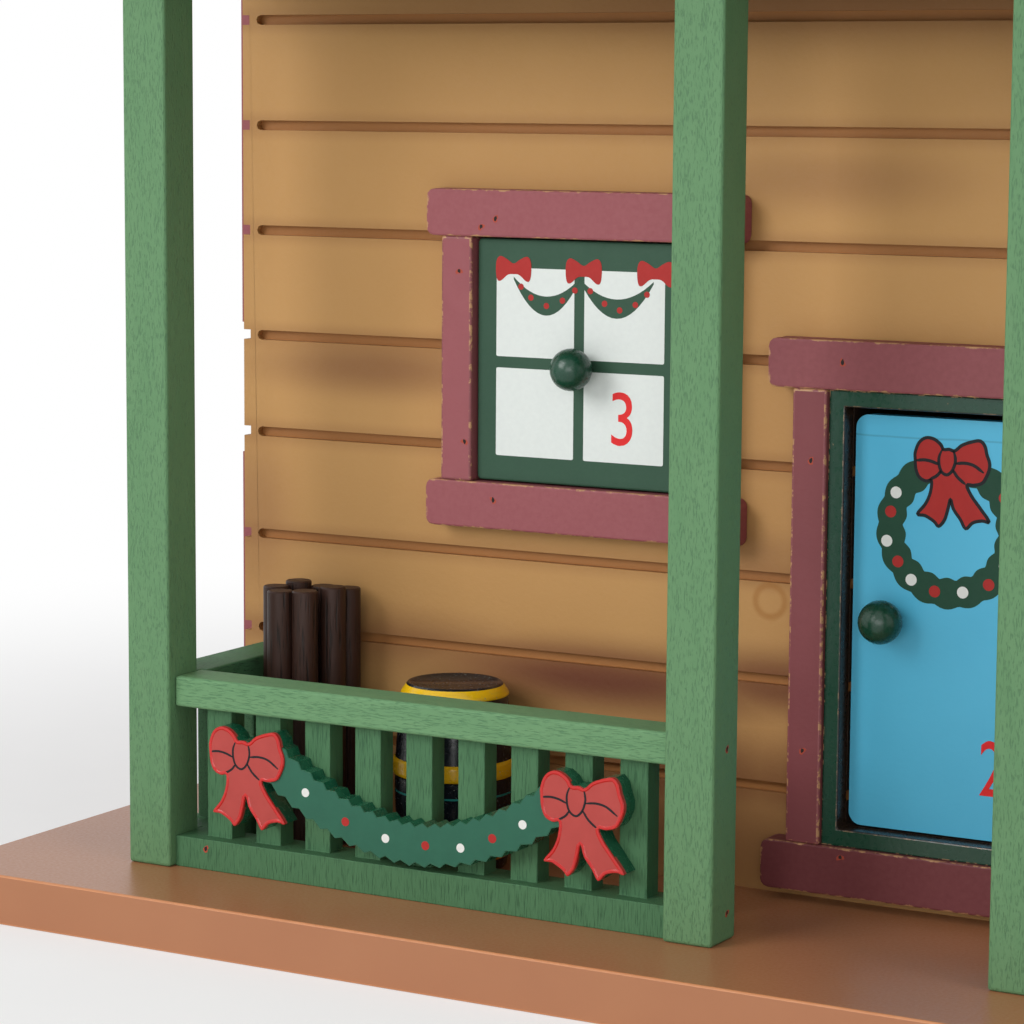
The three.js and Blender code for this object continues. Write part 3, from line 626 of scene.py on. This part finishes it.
# Spirit stain on beech dowel and on roof boards: the grain stays in sight through the colour
log_stain = grained_paint("dark_stain_on_beech_dowel", 2, "#44291f", "#2f1c15", "#1a100c", 0.45, 0.5, 20.0)
roof_stain = grained_paint("green_stain_on_roof_board", 0, "#476f4d", "#3c6344", "#2d4f36", 0.65, 0.9, 14.0)
barrel_lacquer = barrel_finish()
# Bare birch plywood: pale, with long fine grain
plywood = grained_paint("bare_plywood_rack", 1, "#c9ab7c", "#b99868", "#a3835a", 0.7, 0.8, 14.0)
tray_wood = grained_paint("bare_plywood_tray", 1, "#cdb186", "#c0a173", "#a98b62", 0.7, 0.8, 14.0)
# Brad holes: paint chipped down to its red primer round a dark pit, which is painted shade for the hollow of
# the hole
hole_painted_shade = even_paint("painted_shade_of_brad_hole", "#1d1310", "#120b09", 1, 0.8)
hole_chip = even_paint("red_chip_round_brad_hole", "#b84a2e", "#96392a", 1, 0.7)


# House, porch and trim

for node in ("front_wall", "left_wall", "right_wall"):
    dress(node, [wall_paint], 0.35)
dress("back_panel", [back_paint], 0.35)
dress("cell_rack", [plywood])
for node in ("roof_front", "roof_rear", "porch_roof"):
    dress(node, [roof_stain], 0.6)
dress("base_board", [base_paint, base_edge_wear_and_highlight], 0.5, edge_slot=1, steps=3)
for number in range(1, 5):
    dress("porch_post_%d" % number, [post_paint], 0.8, steps=3)
dress("porch_beam", [rail_paint], 0.6)
for side in ("left", "right"):
    dress("top_rail_" + side, [rail_paint], 0.7, steps=3)
    dress("baluster_rail_" + side, [baluster_paint_with_painted_shade], 0.4)
    dress("side_railing_" + side, [side_rail_painted_shade], 0.5)
dress("window_3_casing_head", [head_board], 0.45)
dress("window_3_casing_sill", [sill_board], 0.45)
for side in ("left", "right"):
    dress("window_3_casing_jamb_" + side, [jamb_paint, jamb_edge], 0.6, edge_slot=1, steps=3)
    dress("door_jamb_" + side, [door_jamb_paint, jamb_edge], 0.6, edge_slot=1, steps=3)
dress("window_casing_right", [jamb_paint], 0.45)
dress("door_head", [door_head_board], 0.45)
dress("door_sill", [door_sill_board_painted_shade], 0.45)
dress("door_surround", [surround_paint, surround_edge], 0.35, edge_slot=1)

# Nail holes, across and up
TRIM_HOLES = ((-114.2, 154.6), (-118.1, 152.6), (-124.1, 141.9), (-122.4, 101.2), (-114.4, 87.6),
              (-24.4, 124.7), (-31.7, 102.2), (-32.5, 35.5), (-22.6, 11.8), (-59.5, 154.0), (31.9, 101.0),
              (32.4, 36.0), (24.0, 124.2))
RAIL_HOLES = ((-166.8, 5.2),)
POST_HOLES = ((-106.5, 43.1), (-105.3, 6.4))


def brad_holes(name, seat, spots):
    """Nail holes with chipped paint: discs whose radius wavers with the angle, and on each chip a dark pit
    painted as the hole's shade.
    """
    shape = Shape(seat)
    angle = np.arange(9) * 2 * np.pi / 9
    turned = angle + 0.4
    for k, (x, z) in enumerate(spots):
        wave = 1 + 0.3 * np.sin(angle * 2 + k) + 0.2 * np.sin(angle * 3 + 2 * k)
        chip = [x + 0.85 * wave * np.cos(turned), z - 0.1 + 0.75 * wave * np.sin(turned)]
        pit = [x + 0.42 * np.cos(angle), z + 0.58 * wave * np.sin(angle)]
        shape.ink(np.column_stack(chip), 0.0, 0.02, 1)
        shape.ink(np.column_stack(pit), 0.0, 0.04, 0)
    shape.piece(name, "house", "casing", [hole_painted_shade, hole_chip])


brad_holes("brad_holes", front_seat(0.0, 0.0, TRIM_FRONT), TRIM_HOLES)
brad_holes("rail_brad_hole", front_seat(0.0, 0.0, RAIL_FRONT), RAIL_HOLES)
brad_holes("post_brad_holes", right_seat(0.0, 0.0, POST_SIDE), POST_HOLES)


# Prints, as (across, up) from the middle of an opening's sill, or from a bow's knot

# Panes: left and right edges of each column, then bottom and top edges of each row
PANES = ((-23.25, -2.25), (0.45, 21.55)), ((6.5, 27.5), (30.2, 51.3))
SMALL_PANES = ((-10.6, -0.7), (0.7, 10.6)), ((3.4, 13.3), (14.7, 24.6))
SWAGS = ((-18.6, -1.0), (-0.7, 18.6))
SWAG_DOTS = ((-16.6, 46.9), (-13.9, 44.4), (-9.7, 42.6), (-5.4, 44.0), (-2.1, 46.5), (2.0, 46.5), (5.8, 43.7),
             (9.8, 42.3), (13.9, 43.7), (16.9, 46.2))
SMALL_BOWS = (-18.65, 0.2, 19.1)
SMALL_BOW = smooth_line([
    (0, 1.2), (1.8, 2.2), (3.6, 2.9), (4.6, 1.9), (4.8, -0.6), (4.4, -2.7), (3.4, -2.9), (1.6, -1.5),
    (0, -1.3), (-1.6, -1.5), (-3.4, -2.9), (-4.4, -2.7), (-4.8, -0.6), (-4.6, 1.9), (-3.6, 2.9), (-1.8, 2.2),
], 4, True)
BOW = np.array([
    (-9.0, 2.1), (-8.0, 4.7), (-6.1, 6.1), (-3.8, 5.9), (-1.9, 4.6), (-1.0, 3.3), (0.6, 3.4), (2.2, 3.1),
    (4.2, 4.7), (7.1, 5.8), (9.3, 6.1), (10.6, 4.8), (11.2, 2.6), (12.0, 0.5), (11.9, -1.5), (10.9, -3.9),
    (9.9, -5.1), (7.7, -5.7), (5.8, -5.8), (7.1, -8.5), (9.6, -11.6), (12.3, -15.1), (10.3, -15.0),
    (7.7, -15.7), (5.8, -17.4), (4.2, -15.0), (2.2, -12.4), (1.3, -9.8), (0.6, -12.6), (-0.3, -15.5),
    (-1.9, -17.3), (-3.2, -16.1), (-5.8, -14.7), (-8.0, -14.4), (-5.8, -11.6), (-4.5, -8.6), (-4.2, -5.3),
    (-5.8, -5.4), (-7.7, -4.5), (-8.7, -2.4), (-9.0, 0.4)])
BOW_FOLDS = (
    [(-1.3, 3.4), (-2.2, 1.2), (-2.1, -1.1), (-1.3, -2.8), (0.2, -3.4), (1.6, -2.2), (2.4, 0.0), (2.3, 1.7),
     (1.8, 3.1)],
    [(-8.8, -0.1), (-6.4, 0.2), (-4.2, -0.1), (-2.3, -0.8)],
    [(-1.6, -2.5), (-2.7, -3.8), (-4.8, -5.0)],
    [(2.4, -0.3), (5.1, 0.0), (7.7, -0.5), (10.5, -2.3)],
    [(1.8, -2.0), (3.2, -3.9), (5.4, -5.6)],
)
# Figures: height, and how much narrower than the font one digit and two digits are
FIGURE_TALL, SMALL_FIGURE_TALL = 12.6, 5.6
ONE_DIGIT, TWO_DIGITS = 0.86, 0.72
FIGURE_HALF_THICK = 0.03


def crescent(x0, x1, high, deep, thick):
    """Two parabolas through the same ends, the lower one deeper by thick."""
    t = np.linspace(-1, 1, 17)
    x = (x0 + x1) / 2 + (x1 - x0) / 2 * t
    lower = high - (deep + thick) * (1 - t ** 2)
    upper = high + 0.6 - deep * (1 - t ** 2)
    return np.vstack([np.column_stack([x, lower]), np.column_stack([x, upper])[::-1]])


def figure(text, centre, tall, narrow, face):
    """A number in plain sans outlines, made a mesh, scaled to its height and laid on the face."""
    curve = bpy.data.curves.new("figure", "FONT")
    curve.body = text
    curve.extrude = 0.02
    curve.resolution_u = 5
    holder = put_in_scene("figure", curve)
    bpy.context.view_layer.update()
    mesh = bpy.data.meshes.new_from_object(holder)
    points = np.array([v.co for v in mesh.vertices])
    faces = [list(polygon.vertices) for polygon in mesh.polygons]
    bpy.data.objects.remove(holder)
    bpy.data.curves.remove(curve)
    bpy.data.meshes.remove(mesh)
    low, high = points.min(0), points.max(0)
    scale = tall / (high[1] - low[1])
    middle = (low + high) / 2
    across = (points[:, 0] - middle[0]) * scale * narrow + centre[0]
    up = (points[:, 1] - middle[1]) * scale + centre[1]
    out = face + 2 * FIGURE_HALF_THICK + np.sign(points[:, 2]) * FIGURE_HALF_THICK
    return np.column_stack([across, out, up]), faces


def white_panes(shape, panes, face):
    """A white patch with small round corners for each column and row."""
    columns, rows = panes
    for across in columns:
        for up in rows:
            shape.ink(rounded(*across, *up, 0.4, 3), face, 0.04, 1)


def window_print(shape, number, face):
    """Four white panes, two green swags with red dots, three small bows and the day's number."""
    white_panes(shape, PANES, face)
    for x0, x1 in SWAGS:
        shape.ink(crescent(x0, x1, 48.6, 4.4, 3.9), face, 0.07, 0)
    for x, z in SWAG_DOTS:
        shape.ink(disc(x, z, 0.75, 12), face, 0.09, 2)
    for x in SMALL_BOWS:
        shape.ink(SMALL_BOW + (x, 51.1), face, 0.11, 2)
    narrow = ONE_DIGIT if len(number) == 1 else TWO_DIGITS
    shape.add(*figure(number, (10.7, 16.9), FIGURE_TALL, narrow, face), 3)


def small_print(shape, number, face):
    """The attic window: two panes over two, with its number in the lower right one."""
    white_panes(shape, SMALL_PANES, face)
    shape.add(*figure(number, (6.3, 7.6), SMALL_FIGURE_TALL, TWO_DIGITS, face), 3)


# Drawers: printed front, tray and turned knob

KNOB_RADIUS, KNOB_STAND = 5.0, 11.0
FRONT_THICK = 5.0
FRONT_GAP = 0.4
TRAY_GAP = 0.8
TRAY_WALL = 2.0
# The two kinds: opening, how far the front stands proud, the tray's length and height, and the print
WINDOW_DRAWER = {"opening": OPENING, "face": 4.2, "length": 50.0, "walls": 34.0, "draw": window_print}
ATTIC_DRAWER = {"opening": SMALL, "face": 3.0, "length": 44.0, "walls": 16.0, "draw": small_print}


def turned_knob(seat, across, up, face):
    """A ball on a short neck: radius sin a, height stand - radius + radius cos a, then down to the face."""
    angle = np.linspace(0, np.pi - 0.42, 15)
    height = KNOB_STAND - KNOB_RADIUS + KNOB_RADIUS * np.cos(angle)
    ball = np.column_stack([KNOB_RADIUS * np.sin(angle), height])
    knob = Shape(seat)
    knob.turned(np.vstack([ball, [[KNOB_RADIUS * 0.4, 0.0], [0.0, 0.0]]]), (across, face, up), 32, True)
    return knob


def make_drawer(number, seat, opening, face, length, walls, draw):
    """Printed board front with sanded edges, open tray behind it and a turned knob."""
    name = "drawer_%02d" % number
    half = opening[0] / 2 - FRONT_GAP
    rear = face - FRONT_THICK
    keeps = (name, name + "_knob") if number == 3 else (name,)
    across, up = (0.25, 28.4) if number == 3 else (0.0, opening[1] / 2 + 0.2)
    front = Shape(seat)
    front.prism(rounded(-half, half, FRONT_GAP, opening[1] - FRONT_GAP, 1.1, 4), rear, face)
    front.piece(name + "_front", name, "drawer", [panel_paint], 0.45, replaces=keeps)
    inks = Shape(seat)
    draw(inks, str(number), face)
    inks.piece(name + "_print", name, "drawer", [panel_paint, pane_ink, red_ink, number_ink])
    box = Shape(seat)
    box.tray(half - TRAY_GAP, -length, rear, 0.2, walls, TRAY_WALL)
    box.piece(name + "_tray", name, "drawer", [tray_wood])
    knob = turned_knob(seat, across, up, face)
    knob.piece(name + "_ball", name, "knob", [knob_paint], smooth=True)


def all_drawers():
    """Numbers run 3 and 4 at the porch, 5 to 7 above it, 8 to 19 up the sides, then the attic."""
    seats = [front_seat(x, LOWER_SILL) for x in (-WINDOW_X, WINDOW_X)]
    seats += [front_seat(x, UPPER_SILL) for x in (-WINDOW_X, 0.0, WINDOW_X)]
    seats += [side(y, sill) for side in (left_seat, right_seat) for sill in SIDE_SILLS
              for y in (RIDGE_Y - SIDE_OFFSET, RIDGE_Y + SIDE_OFFSET)]
    for number, seat in enumerate(seats, 3):
        make_drawer(number, seat, **WINDOW_DRAWER)
    attic = [(20, left_seat(RIDGE_Y, SMALL_SILL)), (21, right_seat(RIDGE_Y, SMALL_SILL))]
    attic += [(n, front_seat(x, SMALL_SILL, DORMER_FRONT)) for n, x in zip((23, 2, 1, 22), DORMERS)]
    for number, seat in attic:
        make_drawer(number, seat, **ATTIC_DRAWER)


all_drawers()


# Front door: blue leaf, printed wreath with its bow, knob and number

WREATH_HUB = np.array((0.0, 88.0))
WREATH_OUTER, WREATH_INNER = 17.2, 11.5
# Dots on the wreath: across, up and the number of their ink
WREATH_DOTS = (
    (-13.2, 95.6, 2), (-14.4, 91.2, 1), (-15.2, 84.5, 2), (-12.4, 80.0, 1), (-9.1, 76.1, 2), (-3.4, 73.9, 1),
    (3.3, 74.2, 2), (9.4, 76.4, 1), (13.0, 80.8, 2), (14.9, 85.6, 1), (14.2, 91.6, 2), (12.6, 96.0, 1))
DOOR_BOW_AT, DOOR_BOW_SCALE = (-1.2, 103.2), 0.84
DOOR_KNOB_AT = (-13.9, 66.8)
DOOR_NUMBER_AT = (14.6, 35.0)


def bow_folds(shape, knot, scale, width, face, proud, slot):
    """The drawn folds of a bow: knot outline and two creases a side."""
    for line in BOW_FOLDS:
        shape.ink(stroke(smooth_line(line, 5) * scale + knot, width), face, proud, slot)


def front_door():
    """Scalloped wreath ring with dots, a bow with brush outlines and the last day's number.
    The ring's edges swing by 0.75 |sin 9 a| round it."""
    dress("front_door", [door_paint], 0.6, steps=3, body="front_door")
    seat, face = front_seat(0.0, 0.0), DOOR_PROUD
    shape = Shape(seat)
    angle = (np.arange(160) * 2 * np.pi / 160)[:, None]
    wave = 0.75 * np.abs(np.sin(angle * 9 + 0.3))
    spoke = np.hstack([np.cos(angle), np.sin(angle)])
    outer, inner = (WREATH_HUB + radius * spoke for radius in (WREATH_OUTER + wave, WREATH_INNER - wave))
    shape.ring(outer, inner, face, 0.04, 0)
    for x, z, slot in WREATH_DOTS:
        shape.ink(disc(x, z, 1.35, 20), face, 0.07, slot)
    edge = smooth_line(BOW * DOOR_BOW_SCALE + DOOR_BOW_AT, 4, True)
    shape.ink(edge, face, 0.08, 1)
    shape.ring(set_off(edge, 0.38), set_off(edge, -0.38), face, 0.10, 3)
    bow_folds(shape, DOOR_BOW_AT, DOOR_BOW_SCALE, 0.75, face, 0.10, 3)
    shape.add(*figure("24", DOOR_NUMBER_AT, FIGURE_TALL, TWO_DIGITS, face), 4)
    shape.piece("front_door_print", "front_door", "door", [leaf_ink, red_ink, white_ink, line_ink, number_ink])
    knob = turned_knob(seat, *DOOR_KNOB_AT, face)
    knob.piece("front_door_ball", "front_door", "knob", [knob_paint], smooth=True,
               replaces=("front_door_knob",))


front_door()


# Garlands: cut-out board in glossy green with printed swag, bows and dots

# The swag's parabola: ends, lowest point, rise and half width; its teeth: where valley and tip are
SWAG_START, SWAG_END = KNOTS[0][0] + 7, KNOTS[1][0] - 5
SWAG_LOW, SWAG_LOW_OFF = 13.7, 1.15
SWAG_RISE = 15
SWAG_HALF = 4.6
TEETH = 21
TOOTH_AT, TOOTH_OUT = (0, 0.62), (-0.45, 0.55)
# Dots, white and red in turn, and the bead round a bow as (inset, height over the face)
GARLAND_DOTS = ((-137.5, 22.4), (-126.5, 16.8), (-115.6, 14.2), (-104.9, 13.8), (-95.6, 14.4), (-87.3, 17.6),
                (-79.5, 21.7))
BOW_BEAD = ((0.02, 0.0), (0.02, 0.45), (-0.15, 0.64), (-0.55, 0.66), (-0.8, 0.5), (-0.8, 0.2))


def swag_side(inset):
    """One point per valley and tip of the saw teeth along the parabola low + rise (run / half span) squared,
    set off by the half width plus the tooth, less the inset; the sign of inset picks the edge."""
    half_span = (SWAG_END - SWAG_START) / 2
    x = SWAG_START + (SWAG_END - SWAG_START) * (np.arange(TEETH)[:, None] + TOOTH_AT).ravel() / TEETH
    run = x - (SWAG_START + SWAG_END) / 2 - SWAG_LOW_OFF
    curve = SWAG_RISE / half_span ** 2
    wide = SWAG_HALF - abs(inset) + np.tile(TOOTH_OUT, TEETH)
    reach = np.sign(inset) * wide / np.hypot(1, 2 * curve * run)
    return np.column_stack([x - 2 * curve * run * reach, SWAG_LOW + curve * run ** 2 + reach])


def garland(side, shift):
    """The swag's print and dots, and on each bow a raised red face with its bead and folds."""
    dress("garland_" + side, [swag_edge], 0.2)
    face = GARLAND_THICK
    shape = Shape(front_seat(shift, 0.0, BALUSTER_FRONT))
    shape.ink(np.vstack([swag_side(-0.25), swag_side(0.25)[::-1]]), face, 0.05, 0)
    for k, (x, z) in enumerate(GARLAND_DOTS):
        shape.ink(disc(x, z, 1.05, 18), face, 0.09, 1 + k % 2)
    for knot in KNOTS:
        edge = smooth_line(BOW + knot, 4, True)
        shape.prism(edge, face - 0.7, face + 0.5, 4)
        bead = [np.insert(set_off(edge, inset), 1, face + up, axis=1) for inset, up in BOW_BEAD]
        shape.loft(bead, 5, "joined")
        bow_folds(shape, knot, 1.0, 0.5, face, 0.55, 3)
    shape.piece("garland_print_" + side, "house", "garland",
                [swag_ink, white_ink, red_ink, line_ink, bow_ink, bow_rim])


garland("left", 0.0)
garland("right", BAY_SHIFT)


# Barrel and firewood

BARREL_AT = (-119.1, -75.2, BASE_TOP)
BARREL_BELLY, BARREL_MIDDLE = 14.3, 21
# Stretches of the barrel: from, to, and how proud; then the lid as (radius, height)
STRETCHES = ((0.8, 3.3, 0.0), (3.4, 9.1, 0.5), (9.2, 22.4, 0.0), (22.5, 27.0, 0.5), (27.1, 41.0, 0.0))
LID = ((12.6, 41.4), (13.0, 42.0), (12.9, 42.5), (12.4, 43.3), (11.8, 44.1), (11.3, 44.7), (11.1, 44.8),
       (10.6, 44.75), (10.3, 44.4), (0.0, 44.4))
LOGS_AT = (-165.4, -80.6)
LOG_RADIUS = 3.2
# Dowels: across, back and length
LOGS = ((0, 0, 63.6), (6, 1.7, 63.8), (9.5, 8.9, 64.2), (9.8, 15.1, 63.2), (-4.2, 4.5, 63.9),
        (-1.2, 9.9, 64.8), (4.2, 12.8, 63.5))


def barrel():
    """A bellied cylinder: its radius falls with the square of the distance from mid-height. Its hoops stand
    proud."""
    rows = [np.array([(0.0, 0.0), (11.9, 0.0)])]
    for low, high, proud in STRETCHES:
        t = np.linspace(0, 1, 9)
        z = low + (high - low) * t
        belly = BARREL_BELLY - 7 * ((z - BARREL_MIDDLE) / 42) ** 2
        rows.append(np.column_stack([belly + proud * (1 - (2 * t - 1) ** 8), z]))
    shape = Shape()
    shape.turned(np.vstack([*rows, LID]), BARREL_AT, 64)
    shape.piece("barrel_turned", "house", "barrel", [barrel_lacquer], smooth=True, replaces=("barrel",))


def firewood():
    """Seven dowels, each a cylinder with a small chamfer at its sawn end."""
    shape = Shape()
    for x, y, high in LOGS:
        profile = [(0, 0), (3.0, 0), (LOG_RADIUS, 0.3), (LOG_RADIUS, high / 2), (LOG_RADIUS, high - 0.35),
                   (2.9, high - 0.02), (2.6, high), (0, high)]
        shape.turned(profile, (LOGS_AT[0] + x, LOGS_AT[1] + y, BASE_TOP), 28)
    made = shape.piece("firewood_dowels", "house", "logs", [log_stain], replaces=("log_bundle",))
    made.data.set_sharp_from_angle(angle=np.radians(30))
    made.data.polygons.foreach_set("use_smooth", np.ones(len(made.data.polygons), bool))


barrel()
firewood()


# Camera, floor and light, in metres

CAMERA_AT = (0.26750, -0.72691, 0.19562)
CAMERA_YAW, CAMERA_PITCH, CAMERA_ROLL = np.radians((29.666, -7.377, 0.370))
LENS_MM, SENSOR_MM = 113.34, 36
FLOOR_REACH = 9.0


def look():
    """The camera that the photograph was fitted to: a long lens, turned by its yaw, pitch and roll."""
    level = np.cos(CAMERA_PITCH)
    ahead = np.array([-np.sin(CAMERA_YAW) * level, np.cos(CAMERA_YAW) * level, np.sin(CAMERA_PITCH)])
    right = np.array([np.cos(CAMERA_YAW), np.sin(CAMERA_YAW), 0.0])
    up = np.cross(right, ahead)
    across = np.cos(CAMERA_ROLL) * right + np.sin(CAMERA_ROLL) * up
    upward = -np.sin(CAMERA_ROLL) * right + np.cos(CAMERA_ROLL) * up
    lens = bpy.data.cameras.new("photo_camera")
    lens.sensor_width = SENSOR_MM
    lens.lens = LENS_MM
    lens.clip_start = 0.01
    lens.clip_end = 20
    camera = put_in_scene("photo_camera", lens)
    turn = Matrix((across, upward, -ahead)).transposed().to_4x4()
    camera.matrix_world = Matrix.Translation(CAMERA_AT) @ turn
    bpy.context.scene.camera = camera


def floor():
    """White paper that keeps the shadow near the house and glows white for the camera further out."""
    material, tree, place = start_finish("white_studio_paper", 0.9, Specular_IOR_Level=0.2)
    surface = tree.nodes["Principled BSDF"]
    _, tone = two_tones(tree, place, "#f1f1f1", "#ebebeb", 40, 2)
    tree.links.new(tone, surface.inputs["Base Color"])
    rays = add_node(tree, "LightPath").node.outputs
    seen = gather(tree, "MAXIMUM", [rays["Is Camera Ray"], rays["Is Glossy Ray"]])
    far = add_node(tree, "VectorMath", {"operation": "LENGTH"}, {"Vector": place})
    rise = {**SMOOTH, "From Min": 260, "From Max": 620, "To Min": 0.42, "To Max": 1.0}
    level = add_node(tree, "MapRange", rise, {"Value": far})
    level = add_node(tree, "Math", {"operation": "MULTIPLY"}, {0: level, 1: seen})
    glow = add_node(tree, "Emission")
    mix = add_node(tree, "MixShader", None, {"Fac": level, 1: surface.outputs["BSDF"], 2: glow})
    tree.links.new(mix, tree.nodes["Material Output"].inputs["Surface"])
    corners = [(x * FLOOR_REACH, y * FLOOR_REACH, 0) for x, y in ((-1, -1), (1, -1), (1, 1), (-1, 1))]
    mesh = bpy.data.meshes.new("studio_floor")
    mesh.from_pydata(corners, [], [(0, 1, 2, 3)])
    mesh.materials.append(material)
    put_in_scene("studio_floor", mesh)


def softbox(name, place, target, size, power):
    """A rectangular lamp, turned to face its target. Its power is in watts."""
    light = bpy.data.lights.new(name, "AREA")
    light.shape = "RECTANGLE"
    light.size, light.size_y = size
    light.energy = power
    made = put_in_scene(name, light)
    away = np.array(place, float) - np.array(target, float)
    away /= np.linalg.norm(away)
    side = np.cross((0, 0, 1), away)
    side /= np.linalg.norm(side)
    turn = Matrix((side, np.cross(away, side), away)).transposed().to_4x4()
    made.matrix_world = Matrix.Translation(place) @ turn


def world(strength):
    """An even sky at the given strength, which the camera and mirror reflections see as white."""
    sky = bpy.data.worlds.new("studio_world")
    bpy.context.scene.world = sky
    sky.use_nodes = True
    tree = sky.node_tree
    ground = tree.nodes["Background"]
    ground.inputs["Color"].default_value = (1, 1, 1, 1)
    rays = add_node(tree, "LightPath").node.outputs
    kinds = ("Is Camera Ray", "Is Glossy Ray", "Is Transmission Ray")
    seen = gather(tree, "MAXIMUM", [rays[kind] for kind in kinds])
    level = add_node(tree, "MapRange", {"To Min": strength, "To Max": 1.0}, {"Value": seen})
    tree.links.new(level, ground.inputs["Strength"])


look()
floor()
world(0.51)
softbox("front_left_softbox", (-0.9, -1.5, 0.9), (-0.1, -0.06, 0.12), (0.9, 0.9), 16)
softbox("front_low_fill", (0.5, -1.9, 0.35), (-0.05, -0.06, 0.12), (1.2, 0.8), 7)
softbox("high_right_softbox", (1.3, -0.3, 1.6), (0.0, 0.0, 0.15), (0.8, 0.8), 7.5)
bpy.context.scene.view_settings.view_transform = "Standard"
